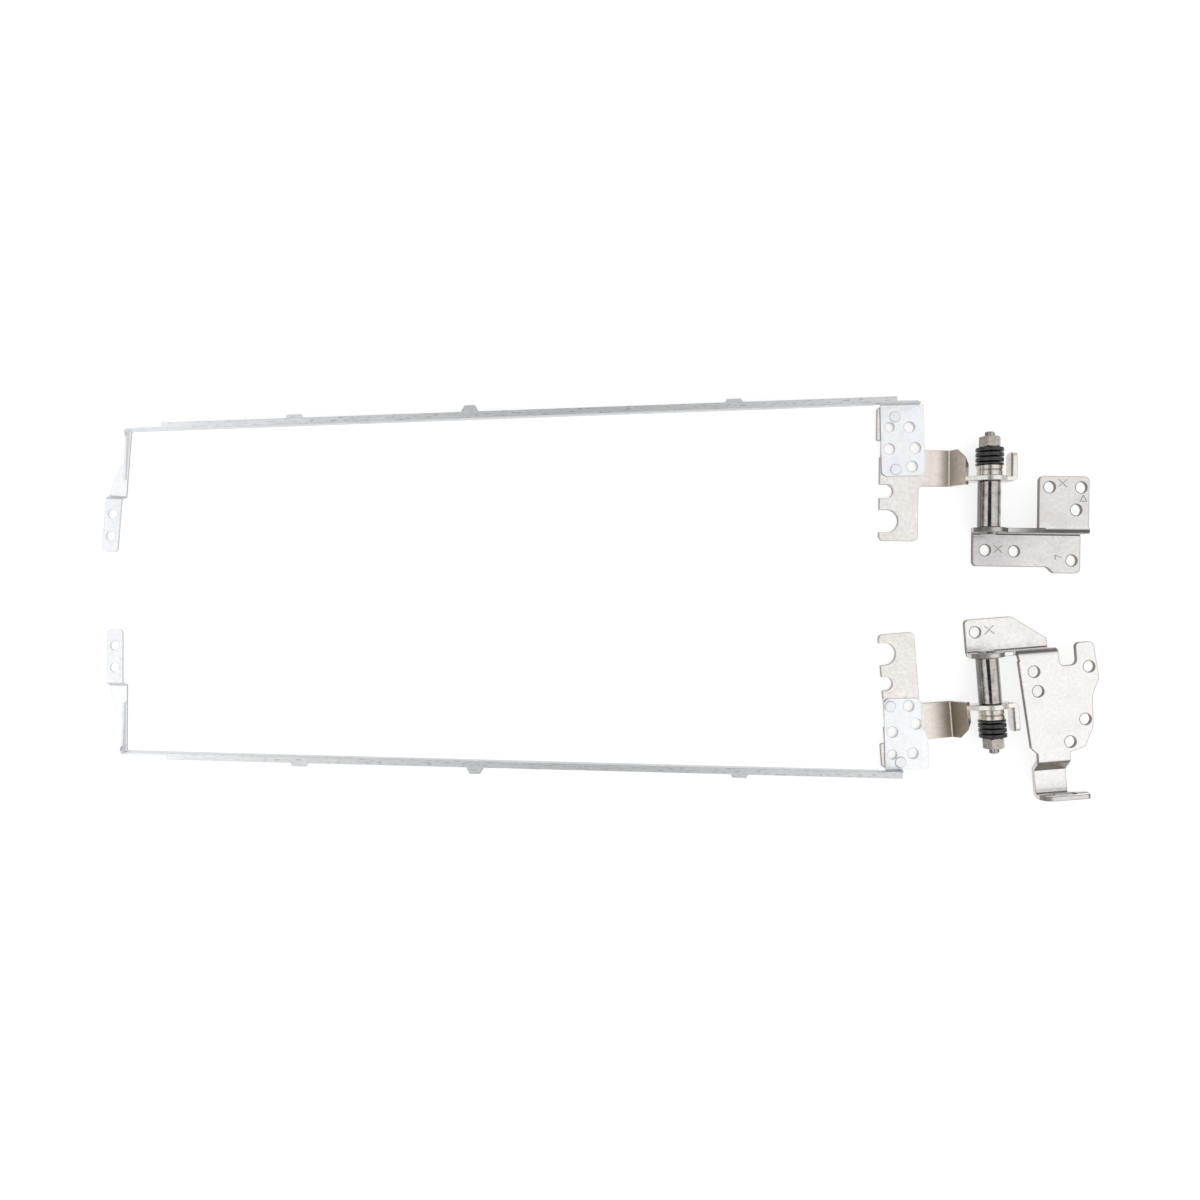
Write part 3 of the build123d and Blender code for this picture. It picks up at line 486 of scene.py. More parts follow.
@dataclass(frozen=True)
class SheetFinish(MetalFinish):
    """Plated sheet: its age, painted shade and painted light, its sheared edges and its die marks.

    Sizes of patterns are in metres. Runs, levels and steps of place are in millimetres in the
    hinge's frame, and those of bands and legs in the pair's frame. A lean is a step of the
    normal's upward part.
    """

    cut_and_shade_colour: Colour = (0.26, 0.225, 0.20)
    cut_roughness: float = 0.5
    cut_and_shade_share: float = 0.55
    cut_lean: Point2 = (0.55, 0.25)
    cut_margin: float = 0.02
    shear_size: float = 0.25 * MM
    shear_gain: float = 0.7
    levels: tuple[Point2, ...] = ((0.0, LOW_TOP), (HIGH_BOTTOM, HIGH_TOP))
    stain: Colour = (0.60, 0.545, 0.50)
    stain_size: float = 6.0 * MM
    stain_step: Point2 = (0.48, 0.68)
    stain_share: float = 0.5
    speck: Colour = (0.30, 0.29, 0.28)
    speck_size: float = 0.45 * MM
    speck_step: Point2 = (0.735, 0.79)
    speck_share: float = 0.6
    bend_shade: Colour = (0.56, 0.49, 0.42)
    bend_shade_share: float = 0.7
    bend_lean: Point2 = (0.985, 0.85)
    upright_lean: Point2 = (0.08, 0.3)
    arm_shade_run: Point2 | None = None
    arm_shade: Colour = (0.24, 0.20, 0.16)
    arm_shade_share: float = 0.97
    warm_shade_run: Point2 = (-18.0, -14.0)
    arm_warm_shade: Colour = (0.60, 0.49, 0.385)
    arm_warm_shade_share: float = 0.3
    end_shade_run: Point2 | None = None
    end_shade_level: Point2 = (2.5, 1.5)
    end_shade: Colour = (0.43, 0.43, 0.445)
    end_shade_share: float = 0.5
    root_shade_run: Point2 | None = None
    root_end: Point2 = (14.2, 14.0)
    root_half: Point2 = (0.75, 0.6)
    root_level: Point2 = (6.8, 7.1)
    fold_shade: Colour | None = None
    band_level: Point2 = (1.8, 2.6)
    band_run: Point2 = (-150.0, -60.0)
    fold_shade_share: float = 0.6
    leg_run: Point2 = (-123.5, -125.5)
    leg_lean: Point2 = (0.5, 0.3)
    leg_level: Point2 = (3.6, 3.9)
    streak_size: float = 1.2 * MM
    streak_gain: float = 0.5
    fleck: Colour = (0.30, 0.31, 0.325)
    fleck_size: float = 0.4 * MM
    fleck_step: Point2 = (0.53, 0.72)
    fleck_share: float = 0.75
    wall_tops: tuple[float, ...] = ()
    wall_aside: Point2 = (0.4, 0.25)
    wall_foot: Point2 = (LOW_TOP + 0.2, LOW_TOP + 0.5)
    wall_top_step: Point2 = (0.1, 0.2)
    wall_shade_share: float = 0.35
    under_plate: float | None = None
    plate_edge: float = 0.3
    plate_start: Point2 = (-27.3, -27.1)
    plate_end: Point2 = (-16.6, -16.8)
    plate_lightening: float = 0.85
    rim: float = 0.4 * MM
    outline_shade_turn: Point2 = (0.99, 0.84)
    outline_shade_share: float = 0.5
    mark_width: float = 0.17 * MM
    mark_floor: float = 0.35
    mark_share: float = 0.75
    mark_depth: float = 6.0

    def aged_and_shaded(self, graph: Graph, place: Wire, hinge: HingeFrame, colour: Any) -> Wire:
        """Add the plating's stains and specks, and painted shade on bends, arms, plates, roots and
        folds.

        Args:
            graph: The material's graph.
            place: The piece's own coordinates.
            hinge: The hinge that the piece belongs to.
            colour: The plain colour.

        Returns:
            The colour with these on it.
        """
        stained = graph.noise(place, self.stain_size, detail=4.0).fade(*self.stain_step)
        colour = graph.mix(stained * self.stain_share, colour, self.stain)
        specks = graph.noise(place, self.speck_size, detail=1.0).fade(*self.speck_step)
        colour = graph.mix(specks * self.speck_share, colour, self.speck)
        lean = graph.part_of(graph.coordinates("Normal"), "Z")
        level = graph.part_of(place, "Z")
        across = hinge.along(graph, place, ACROSS)
        # Painted shade: bent and sloped faces darken by the tilt of their normal.
        bent = lean.fade(*self.bend_lean) * lean.fade(*self.upright_lean)
        # Painted shade on the display arm: warm, then dark, towards its bend up into the ramp.
        if self.arm_shade_run:
            on_arm = across.fade_mm(*ARM_STEP)
            warm_shade = across.fade_mm(*self.warm_shade_run) * on_arm
            colour = graph.mix(warm_shade * self.arm_warm_shade_share, colour, self.arm_warm_shade)
            arm_shaded = across.fade_mm(*self.arm_shade_run) * on_arm
            colour = graph.mix(arm_shaded * self.arm_shade_share, colour, self.arm_shade)
            bent = bent * across.fade_mm(*RAMP_STEP)
        # Painted shade on the low plate, darker towards the shaft's side.
        if self.end_shade_run:
            end_shaded = across.fade_mm(*self.end_shade_run) * level.fade_mm(*self.end_shade_level)
            colour = graph.mix(end_shaded * self.end_shade_share, colour, self.end_shade)
        # Painted shade along the high plate's root, where it bends down into the wall.
        if self.root_shade_run:
            from_middle = abs(hinge.along(graph, place, ALONG_SHAFT) + LOW_TOP / 2 * MM)
            root_shade = across.fade_mm(*self.root_shade_run) * across.fade_mm(*self.root_end)
            root_shade = root_shade * from_middle.fade_mm(*self.root_half) * level.fade_mm(*self.root_level)
            colour = graph.mix(root_shade * self.bend_shade_share, colour, self.bend_shade)
        colour = graph.mix(bent * self.bend_shade_share, colour, self.bend_shade)
        return self.fold_shaded(graph, place, colour) if self.fold_shade else colour

    def fold_shaded(self, graph: Graph, place: Wire, colour: Any) -> Wire:
        """Paint shade on the rail's folded wall, flange and legs, streaked along the fold, with
        flecks.

        Args:
            graph: The material's graph.
            place: The piece's own coordinates.
            colour: The colour so far.

        Returns:
            The colour with the painted shade and flecks on it.
        """
        lean = graph.part_of(graph.coordinates("Normal"), "Z")
        level, across = graph.part_of(place, "Z"), graph.part_of(place, "X")
        leg_wall = abs(lean).fade(*self.leg_lean).most(level.fade_mm(*self.leg_level))
        leg = across.fade_mm(*self.leg_run) * leg_wall
        # Painted shade on the folded wall, flange and leg walls, streaked along the fold.
        shaded_fold = level.fade_mm(*self.band_level) * across.fade_mm(*self.band_run).most(leg)
        streaks = graph.noise(place, self.streak_size, 3.0, STREAK_STRETCH) * self.streak_gain
        colour = graph.mix(shaded_fold * (self.fold_shade_share + streaks), colour, self.fold_shade)
        flecks = graph.noise(place, self.fleck_size, 2.0, FLECK_STRETCH).fade(*self.fleck_step)
        return graph.mix(flecks * shaded_fold * self.fleck_share, colour, self.fleck)

    def sheared_and_shaded(self, graph: Graph, place: Wire, hinge: HingeFrame) -> Wire:
        """Where sheared edges and hole walls show, with painted shade on walls and painted light in
        holes.

        Args:
            graph: The material's graph.
            place: The piece's own coordinates.
            hinge: The hinge that the bracket belongs to.

        Returns:
            The share of sheared metal and painted shade, from 0 to 1.
        """
        normal, level = graph.coordinates("Normal"), graph.part_of(place, "Z")
        sheets = []
        for low, high in self.levels:
            half = (high - low) / 2
            from_middle = abs(level - (low + high) / 2 * MM)
            sheets.append(from_middle.fade_mm(half + self.cut_margin, half))
        cut_and_shade = reduce(Wire.most, sheets) * abs(graph.part_of(normal, "Z")).fade(*self.cut_lean)
        # Painted light: under the rail's plate the bracket's hole walls lose most of their sheared
        # colour, so the shaded holes look pale.
        if self.under_plate is not None:
            across, deep = (hinge.along(graph, place, way) for way in (ACROSS, ALONG_SHAFT))
            lightened = deep.fade_mm(self.under_plate, self.under_plate + self.plate_edge)
            lightened = lightened * across.fade_mm(*self.plate_start) * across.fade_mm(*self.plate_end)
            cut_and_shade = cut_and_shade * (1.0 - lightened * self.plate_lightening)
        # Painted shade: the upright faces of the walls, between their foot and their top, take part
        # of the sheared colour.
        if self.wall_tops:
            aside = abs(graph.dot(normal, hinge.matrix().to_3x3() @ ALONG_SHAFT))
            wall_shade = aside.fade(*self.wall_aside) * level.fade_mm(*self.wall_foot)
            for top in self.wall_tops:
                wall_shade = wall_shade * abs(level - top * MM).fade_mm(*self.wall_top_step)
            cut_and_shade = cut_and_shade.most(wall_shade * self.wall_shade_share)
        return cut_and_shade

    def dressed(
        self, name: str, hinge: HingeFrame, marks: Sequence[DieMark] = ()
    ) -> bpy.types.Material:
        """The finish on one bracket, with its cut edges, painted shade and light, and die marks.

        Args:
            name: The material's name.
            hinge: The hinge that the bracket belongs to.
            marks: The bracket's die marks.

        Returns:
            The material.
        """

        def extra(graph: Graph, place: Wire, colour: Any, roughness: Any, height: Wire) -> Look:
            """Add the plating's age and painted shade, cut edges, a painted dark outline, and the
            marks.
            """
            colour = self.aged_and_shaded(graph, place, hinge, colour)
            cut_and_shade = self.sheared_and_shaded(graph, place, hinge)
            shear = graph.noise(place, self.shear_size, 2.0, SHEAR_STRETCH) * self.shear_gain
            colour = graph.mix(cut_and_shade * (self.cut_and_shade_share + shear), colour, self.cut_and_shade_colour)
            roughness = roughness + cut_and_shade * (self.cut_roughness - self.roughness)
            # Painted shade: a dark outline where the rounded normal turns away from the flat one,
            # along every edge.
            surface = graph.node("ShaderNodeNewGeometry", {}, {}, "Normal")
            rounded = graph.node("ShaderNodeBevel", {"samples": OUTLINE_SHADE_SAMPLES}, {"Radius": self.rim})
            rim = graph.dot(rounded, surface).fade(*self.outline_shade_turn)
            colour = graph.mix(rim * self.outline_shade_share, colour, self.cut_and_shade_colour)
            strokes = [ends for mark in marks for ends in mark.strokes(hinge)]
            if strokes:
                nearest = reduce(Wire.least, [graph.stroke(place, *ends) for ends in strokes])
                pressed = nearest.fade(self.mark_width, self.mark_floor * self.mark_width)
                colour = graph.mix(pressed * self.mark_share, colour, self.cut_and_shade_colour)
                height = height - pressed * self.mark_depth
            return colour, roughness, height

        return self.material(name, extra)


@dataclass(frozen=True)
class TurnedFinish(MetalFinish):
    """Turned, hardened steel: fine turning lines round its axis, oily patches, painted shade on
    flanks.
    """

    line: float = 0.09 * MM
    line_gain: float = 0.1
    grain_share: float = 0.3
    oil_and_shade: Colour = (0.13, 0.11, 0.095)
    oil_size: float = 2.4 * MM
    oil_step: Point2 = (0.5, 0.8)
    oil_and_shade_share: float = 0.8
    oil_gloss: float = 0.04
    flank_shade_lean: Point2 = (0.9, 0.3)
    flank_shade_gain: float = 0.35

    def dressed(self, name: str, hinge: HingeFrame) -> bpy.types.Material:
        """The finish on one shaft.

        Args:
            name: The material's name.
            hinge: The hinge that the shaft belongs to.

        Returns:
            The material.
        """
        along = hinge.matrix().to_3x3() @ ALONG_SHAFT

        def extra(graph: Graph, place: Wire, colour: Any, roughness: Any, height: Wire) -> Look:
            """Add the turning lines, the oil patches, and painted shade that darkens the lower
            flanks.
            """
            inputs = {"W": graph.dot(place, along), "Scale": 1.0 / self.line, "Detail": 3.0}
            lines = graph.node("ShaderNodeTexNoise", {"noise_dimensions": "1D"}, inputs, "Fac")
            # Painted shade: the lower flanks darken by their normal, on top of the oil patches.
            low = graph.part_of(graph.coordinates("Normal"), "Z").fade(*self.flank_shade_lean)
            oil_and_flank_shade = graph.noise(place, self.oil_size, detail=3.0) + low * self.flank_shade_gain
            oil_and_flank_shade = oil_and_flank_shade.fade(*self.oil_step)
            colour = graph.mix(oil_and_flank_shade * self.oil_and_shade_share, colour, self.oil_and_shade)
            roughness = roughness + (lines - 0.5) * self.line_gain - oil_and_flank_shade * self.oil_gloss
            return colour, roughness, height * self.grain_share + lines

        return self.material(name, extra)


# The rail's bends, folded wall, flange and legs carry painted shade in grey.
GALVANISED = SheetFinish(
    name="galvanised_sheet", colour=(0.905, 0.93, 0.955), drift=(0.865, 0.89, 0.92),
    roughness=0.44, roughness_drift=0.10, patch=1.2 * MM, grain=0.16 * MM,
    grain_depth=0.006 * MM, edge=0.10 * MM, rim=0.25 * MM, outline_shade_share=0.4,
    cut_and_shade_colour=(0.46, 0.46, 0.47), levels=((LOW_TOP, RAIL_PLATE_TOP),),
    stain=(0.79, 0.82, 0.855), stain_share=0.3, bend_shade=(0.60, 0.61, 0.62), bend_shade_share=0.5,
    fold_shade=(0.60, 0.61, 0.62),
)
DISPLAY_NICKEL = SheetFinish(
    name="display_nickel", colour=(0.83, 0.805, 0.78), drift=(0.77, 0.74, 0.71),
    roughness=0.33, roughness_drift=0.12, patch=0.9 * MM, grain=0.13 * MM,
    grain_depth=0.006 * MM, edge=0.22 * MM, cut_and_shade_colour=(0.42, 0.375, 0.335),
    stain=(0.72, 0.66, 0.60), stain_share=0.45,
)
# The display arms and bends carry painted shade, darker and browner on the left hinge.
RIGHT_DISPLAY_NICKEL = replace(
    DISPLAY_NICKEL, name="right_display_nickel", bend_shade=(0.61, 0.49, 0.385),
    bend_lean=(0.9, 0.66), arm_shade_run=(-12.8, -9.3), under_plate=13.8,
)
LEFT_DISPLAY_NICKEL = replace(
    DISPLAY_NICKEL, name="left_display_nickel", bend_shade=(0.36, 0.29, 0.22), bend_shade_share=0.95,
    bend_lean=(0.93, 0.7), arm_shade_run=(-15.2, -9.4), arm_shade=(0.15, 0.12, 0.09), arm_warm_shade_share=0.4,
    under_plate=9.3,
)
# The two base brackets share one plating: the right base's colour and drift are set darker than the
# left base's, as shaded and lit copies of it.
RIGHT_BASE_NICKEL = replace(
    DISPLAY_NICKEL, name="right_base_nickel", colour=(0.73, 0.715, 0.705),
    drift=(0.665, 0.645, 0.63), cut_and_shade_colour=(0.25, 0.215, 0.195), stain=(0.64, 0.585, 0.55),
    stain_share=0.6, bend_shade=(0.14, 0.12, 0.11), bend_shade_share=0.95, wall_tops=(HIGH_TOP,),
    root_shade_run=(1.5, 12.5), end_shade_run=(15.0, 3.0), rim=0.5 * MM, outline_shade_share=0.8,
)
LEFT_BASE_NICKEL = replace(
    RIGHT_BASE_NICKEL, name="left_base_nickel", colour=(0.84, 0.825, 0.81),
    drift=(0.79, 0.77, 0.75), stain=(0.74, 0.71, 0.68), stain_share=0.45,
    bend_shade=(0.26, 0.23, 0.21), wall_tops=(HIGH_TOP, TAIL_TOP), root_shade_run=None, end_shade_run=None,
)
HARDENED = TurnedFinish(
    name="hardened_steel", colour=(0.55, 0.52, 0.49), drift=(0.42, 0.39, 0.365),
    roughness=0.14, roughness_drift=0.05, patch=2.0 * MM, grain=0.1 * MM,
    grain_depth=0.003 * MM,
)
HARDWARE = MetalFinish(
    name="nickel_hardware", colour=(0.72, 0.67, 0.61), drift=(0.58, 0.53, 0.48),
    roughness=0.26, roughness_drift=0.12, patch=0.9 * MM, grain=0.1 * MM,
    grain_depth=0.005 * MM,
)
NUT_STEEL = replace(
    HARDWARE, name="nut_steel", colour=(0.47, 0.43, 0.385), drift=(0.37, 0.335, 0.30),
)
BLACK_OXIDE = MetalFinish(
    name="black_oxide", colour=(0.020, 0.020, 0.022), drift=(0.045, 0.043, 0.042),
    roughness=0.3, roughness_drift=0.12, patch=0.7 * MM, grain=0.1 * MM,
    grain_depth=0.004 * MM, edge=0.08 * MM, metallic=0.0,
)


class NodeTreeMaker:
    """Builds one Geometry Nodes tree and turns its result into a plain mesh."""

    def __init__(self, name: str, sizes: dict[str, str]) -> None:
        """Begin a tree.

        Args:
            name: The tree's name.
            sizes: The socket type of each named input.
        """
        self.tree = bpy.data.node_groups.new(name, "GeometryNodeTree")
        self.tree.is_modifier = True
        interface = self.tree.interface
        interface.new_socket("Geometry", in_out="INPUT", socket_type="NodeSocketGeometry")
        self.identifiers = {
            key: interface.new_socket(key, in_out="INPUT", socket_type=kind).identifier
            for key, kind in sizes.items()
        }
        interface.new_socket("Geometry", in_out="OUTPUT", socket_type="NodeSocketGeometry")
        self.inputs = self.tree.nodes.new("NodeGroupInput")

    def add(self, kind: str, settings: dict[str, Any], **inputs: Any) -> bpy.types.Node:
        """Add a node.

        Args:
            kind: The node's type.
            settings: Its properties.
            inputs: Values or output sockets, by input name with _ for a space.

        Returns:
            The node.
        """
        made = self.tree.nodes.new(kind)
        for key, value in settings.items():
            setattr(made, key, value)
        for key, value in inputs.items():
            socket = next(s for s in made.inputs if s.name == key.replace("_", " ") and s.enabled)
            if isinstance(value, bpy.types.NodeSocket):
                self.tree.links.new(value, socket)
            else:
                socket.default_value = value
        return made

    def close(self, geometry: bpy.types.NodeSocket, material: bpy.types.Material) -> None:
        """End the tree in Realize Instances and Set Material.

        Args:
            geometry: What the tree has made.
            material: Its material.
        """
        real = self.add("GeometryNodeRealizeInstances", {}, Geometry=geometry)
        dressed = self.add(
            "GeometryNodeSetMaterial", {}, Geometry=real.outputs[0], Material=material
        )
        self.add("NodeGroupOutput", {}, Geometry=dressed.outputs[0])

    def bake(self, name: str, source: bpy.types.Mesh, sizes: dict[str, Any]) -> bpy.types.Object:
        """Evaluate the tree on a mesh and keep the result as a plain mesh object.

        Args:
            name: The new object's name.
            source: The mesh that the tree works on.
            sizes: A value for each named input.

        Returns:
            The object, linked to the scene.
        """
        carrier = bpy.data.objects.new(f"{name}_carrier", source)
        bpy.context.scene.collection.objects.link(carrier)
        modifier = carrier.modifiers.new("shape", "NODES")
        modifier.node_group = self.tree
        for key, value in sizes.items():
            modifier[self.identifiers[key]] = value
        evaluated = carrier.evaluated_get(bpy.context.evaluated_depsgraph_get())
        mesh = bpy.data.meshes.new_from_object(evaluated)
        bpy.data.objects.remove(carrier)
        mesh.name = name
        made = bpy.data.objects.new(name, mesh)
        bpy.context.scene.collection.objects.link(made)
        return made


@dataclass
class ThreadTurns:
    """The turns of thread that stand past a lock nut. Sizes in millimetres."""

    hinge: HingeFrame
    body: Body = Body.BASES
    start: float = 24.05
    length: float = 1.15
    pitch: float = 0.45
    radius: float = 1.2
    crest: float = 0.12
    axis_height: float = 5.2
    turn_steps: int = 32
    crest_sides: int = 6

    def build(self, material: bpy.types.Material) -> bpy.types.Object:
        """Wind the thread and set it on the shaft's tail.

        Args:
            material: The shaft's material.

        Returns:
            The piece.
        """
        sizes = {
            "Turns": self.length / self.pitch, "Radius": self.radius * MM,
            "Height": self.length * MM, "Crest": self.crest * MM,
        }
        maker = NodeTreeMaker("thread_turns", dict.fromkeys(sizes, "NodeSocketFloat"))
        given = maker.inputs.outputs
        helix = maker.add(
            "GeometryNodeCurveSpiral", {}, Resolution=self.turn_steps, Rotations=given["Turns"],
            Start_Radius=given["Radius"], End_Radius=given["Radius"], Height=given["Height"],
        )
        crest = maker.add(
            "GeometryNodeCurvePrimitiveCircle", {"mode": "RADIUS"}, Resolution=self.crest_sides,
            Radius=given["Crest"],
        )
        ridge = maker.add(
            "GeometryNodeCurveToMesh", {}, Curve=helix.outputs[0], Profile_Curve=crest.outputs[0],
            Fill_Caps=True,
        )
        maker.close(ridge.outputs[0], material)
        seed = bpy.data.meshes.new("thread_seed")
        piece = maker.bake(f"{self.hinge.name}_thread_turns", seed, sizes)
        foot = Matrix.Translation(Vector((0, self.start, self.axis_height)) * MM)
        stand = foot @ Matrix.Rotation(-math.pi / 2, 4, "X")
        piece.data.transform(self.hinge.matrix() @ stand)
        if self.hinge.mirrored:
            piece.data.flip_normals()
        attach(piece, self.body.value)
        LOG.info("%s: %d faces", piece.name, len(piece.data.polygons))
        return piece


@dataclass
class HoleRims:
    """The rolled lips that a punch leaves round the holes of one body's plates, in millimetres.

    The lip is a share of the hole's radius.
    """

    name: str
    body: Body
    slot: Slot
    holes: list[tuple[HingeFrame, Point2, float, float]] = field(default_factory=list)
    lip: float = 0.045
    sides: int = 40
    lip_sides: int = 6

    def add(self, hinge: HingeFrame, places: Iterable[Point2], level: float, radius: float) -> None:
        """Add holes of one plate.

        Args:
            hinge: The hinge whose frame the places are in.
            places: The holes' centres.
            level: The height of the plate's top.
            radius: The holes' radius.
        """
        self.holes += [(hinge, place, level, radius) for place in places]

    def build(self, material: bpy.types.Material) -> bpy.types.Object:
        """Set a lip round every hole.

        Args:
            material: The plates' material.

        Returns:
            The piece.
        """
        seed = bpy.data.meshes.new(f"{self.name}_centres")
        centres = [hinge.place(*place, level) for hinge, place, level, _ in self.holes]
        seed.from_pydata(centres, [], [])
        widths = seed.attributes.new("rim_radius", "FLOAT", "POINT")
        widths.data.foreach_set("value", [radius * MM for *_, radius in self.holes])
        maker = NodeTreeMaker("hole_rims", {"Lip": "NodeSocketFloat"})
        given = maker.inputs.outputs
        width = maker.add(
            "GeometryNodeInputNamedAttribute", {"data_type": "FLOAT"}, Name="rim_radius"
        )
        ring, lip = (
            maker.add(
                "GeometryNodeCurvePrimitiveCircle", {"mode": "RADIUS"}, Resolution=sides,
                Radius=radius,
            )
            for sides, radius in ((self.sides, 1.0), (self.lip_sides, given["Lip"]))
        )
        rim = maker.add(
            "GeometryNodeCurveToMesh", {}, Curve=ring.outputs[0], Profile_Curve=lip.outputs[0]
        )
        spread = maker.add(
            "GeometryNodeInstanceOnPoints", {}, Points=given["Geometry"],
            Instance=rim.outputs[0], Scale=width.outputs[0],
        )
        maker.close(spread.outputs[0], material)
        piece = maker.bake(self.name, seed, {"Lip": self.lip})
        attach(piece, self.body.value)
        LOG.info("%s: %d holes", piece.name, len(self.holes))
        return piece


@dataclass
class Hinge:
    """One hinge of the pair: dresses its CAD pieces and adds what is too fine for them.

    Sizes are in millimetres in the hinge's frame.
    """

    frame: HingeFrame
    display_body: Body
    marks: Sequence[DieMark]
    plate_inner: float
    plate_screws: Sequence[Point2]
    locating_hole: Point2
    display_finish: SheetFinish
    base_finish: SheetFinish
    base_holes: Sequence[tuple[float, Sequence[Point2]]]
    springs: int = 7
    base_hole_radius: float = 1.55
    plate_hole_radius: float = 1.5
    locating_radius: float = 1.3

    def dress(self) -> None:
        """Give every piece of the hinge its finish."""
        name = self.frame.name
        base = self.base_finish.dressed(self.base_finish.name, self.frame, self.marks)
        display = self.display_finish.dressed(self.display_finish.name, self.frame)
        shaft = HARDENED.dressed(f"{name}_{HARDENED.name}", self.frame)
        finishes = {
            "display_rail": shared(GALVANISED), "rail_rivets": shared(GALVANISED),
            "display_bracket": display, "base_bracket": base, "hinge_shaft": shaft,
            "friction_washer": shared(HARDWARE), "pressure_washer": shared(HARDWARE),
            "lock_nut": shared(NUT_STEEL),
        }
        for number in range(1, self.springs + 1):
            finishes[f"disc_spring_{number}"] = shared(BLACK_OXIDE)
        for piece, material in finishes.items():
            node = frame["nodes"][f"{name}_{piece}"]
            for slot in node.material_slots:
                slot.material = material
            LOG.info("%s_%s: %s", name, piece, material.name)
        ThreadTurns(self.frame).build(shaft)
        self.rim_base(base)
        self.rim_plate()

    def rim_base(self, material: bpy.types.Material) -> bpy.types.Object:
        """Set the rims on the base bracket's plates.

        Args:
            material: The bracket's material.

        Returns:
            The piece.
        """
        rims = HoleRims(f"{self.frame.name}_base_rims", Body.BASES, Slot.NICKEL)
        for level, places in self.base_holes:
            rims.add(self.frame, places, level, self.base_hole_radius)
        return rims.build(material)

    def rim_plate(self) -> bpy.types.Object:
        """Set the rims on the rail's plate.

        Returns:
            The piece.
        """
        rims = HoleRims(f"{self.frame.name}_plate_rims", self.display_body, Slot.GALVANISED)
        screws = [(x, self.plate_inner + y) for x, y in self.plate_screws]
        locating = (self.locating_hole[0], self.plate_inner + self.locating_hole[1])
        rims.add(self.frame, screws, RAIL_PLATE_TOP, self.plate_hole_radius)
        rims.add(self.frame, [locating], RAIL_PLATE_TOP, self.locating_radius)
        return rims.build(shared(GALVANISED))


SHARED: dict[str, bpy.types.Material] = {}


def shared(finish: MetalFinish) -> bpy.types.Material:
    """The one material of a finish that several pieces have.

    Args:
        finish: The finish.

    Returns:
        Its material.
    """
    if finish.name not in SHARED:
        if isinstance(finish, SheetFinish):
            SHARED[finish.name] = finish.dressed(finish.name, RIGHT)
        else:
            SHARED[finish.name] = finish.material()
    return SHARED[finish.name]


@dataclass
class Table:
    """The plain white table, in metres."""

    size: float = 6.0
    drop: float = 0.03 * MM
    colour: Colour = (0.93, 0.93, 0.93)
    seen_colour: Colour = (0.34, 0.34, 0.34)
    seen_white: float = 0.74

    def build(self) -> bpy.types.Object:
        """Lay the table under the pair.

        Returns:
            The table.
        """
        half = self.size / 2
        mesh = bpy.data.meshes.new("table")
        corners = [(-half, -half), (half, -half), (half, half), (-half, half)]
        mesh.from_pydata([(x, y, -self.drop) for x, y in corners], [], [(0, 1, 2, 3)])
        table = bpy.data.objects.new("table", mesh)
        bpy.context.scene.collection.objects.link(table)
        mesh.materials.append(self.material())
        table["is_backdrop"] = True
        return table

    def material(self) -> bpy.types.Material:
        """White where it is seen, directly or in metal, with a faint shadow.

        Returns:
            The material.
        """
        made = bpy.data.materials.new("table_white")
        made.use_nodes = True
        graph = Graph(made.node_tree)
        rays = ("Is Camera Ray", "Is Glossy Ray", "Is Transmission Ray")
        seen = reduce(Wire.most, [graph.node("ShaderNodeLightPath", {}, {}, ray) for ray in rays])
        matt = graph.node("ShaderNodeBsdfDiffuse", {}, {"Color": (*self.colour, 1.0)})
        shaded = graph.node("ShaderNodeBsdfDiffuse", {}, {"Color": (*self.seen_colour, 1.0)})
        glow = {"Color": WHITE, "Strength": self.seen_white}
        white = graph.node("ShaderNodeEmission", {}, glow)
        pale = graph.node("ShaderNodeAddShader", {}, {0: shaded, 1: white})
        either = graph.node("ShaderNodeMixShader", {}, {0: seen, 1: matt, 2: pale})
        graph.node("ShaderNodeOutputMaterial", {}, {"Surface": either})
        return made


@dataclass
class Studio:
    """Broad soft light overhead with a dim horizon, and a dark card that shows in metal only.

    The rise is the step of a direction's upward part from the horizon to overhead. The card is
    in metres.
    """

    overhead: float = 1.15
    horizon: float = 0.28
    rise: Point2 = (0.12, 0.55)
    front_gain: float = 0.35
    front_most: float = 1.05
    card_radius: float = 0.12
    card_place: tuple[float, float, float] = (0.0, 0.0, 0.30)
    card_sides: int = 48
    card_colour: Colour = (0.03, 0.03, 0.03)

    def build(self) -> None:
        """Make the world and the card."""
        world = bpy.data.worlds.new("studio")
        world.use_nodes = True
        bpy.context.scene.world = world
        graph = Graph(world.node_tree)
        way = graph.coordinates("Generated")
        depth, height = graph.part_of(way, "Y"), graph.part_of(way, "Z")
        level = self.horizon + height.fade(*self.rise) * (self.overhead - self.horizon)
        level = level * (1.0 - depth * self.front_gain).least(self.front_most)
        sky = {"Color": WHITE, "Strength": level}
        background = graph.node("ShaderNodeBackground", {}, sky)
        graph.node("ShaderNodeOutputWorld", {}, {"Surface": background})
        self.card()

    def card(self) -> bpy.types.Object:
        """Hang the dark card above the lens.

        Returns:
            The card.
        """
        mesh = bpy.data.meshes.new("dark_card")
        turns = [2 * math.pi * i / self.card_sides for i in range(self.card_sides)]
        spokes = [Vector((math.cos(a), -math.sin(a), 0.0)) for a in turns]
        rim = [Vector(self.card_place) + self.card_radius * spoke for spoke in spokes]
        mesh.from_pydata(rim, [], [tuple(range(len(rim)))])
        card = bpy.data.objects.new("dark_card", mesh)
        bpy.context.scene.collection.objects.link(card)
        made = bpy.data.materials.new("card_black")
        made.use_nodes = True
        graph = Graph(made.node_tree)
        matt = graph.node("ShaderNodeBsdfDiffuse", {}, {"Color": (*self.card_colour, 1.0)})
        graph.node("ShaderNodeOutputMaterial", {}, {"Surface": matt})
        mesh.materials.append(made)
        card.visible_camera = False
        card.visible_diffuse = False
        card.visible_shadow = False
        card.visible_transmission = False
        card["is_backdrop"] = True
        return card


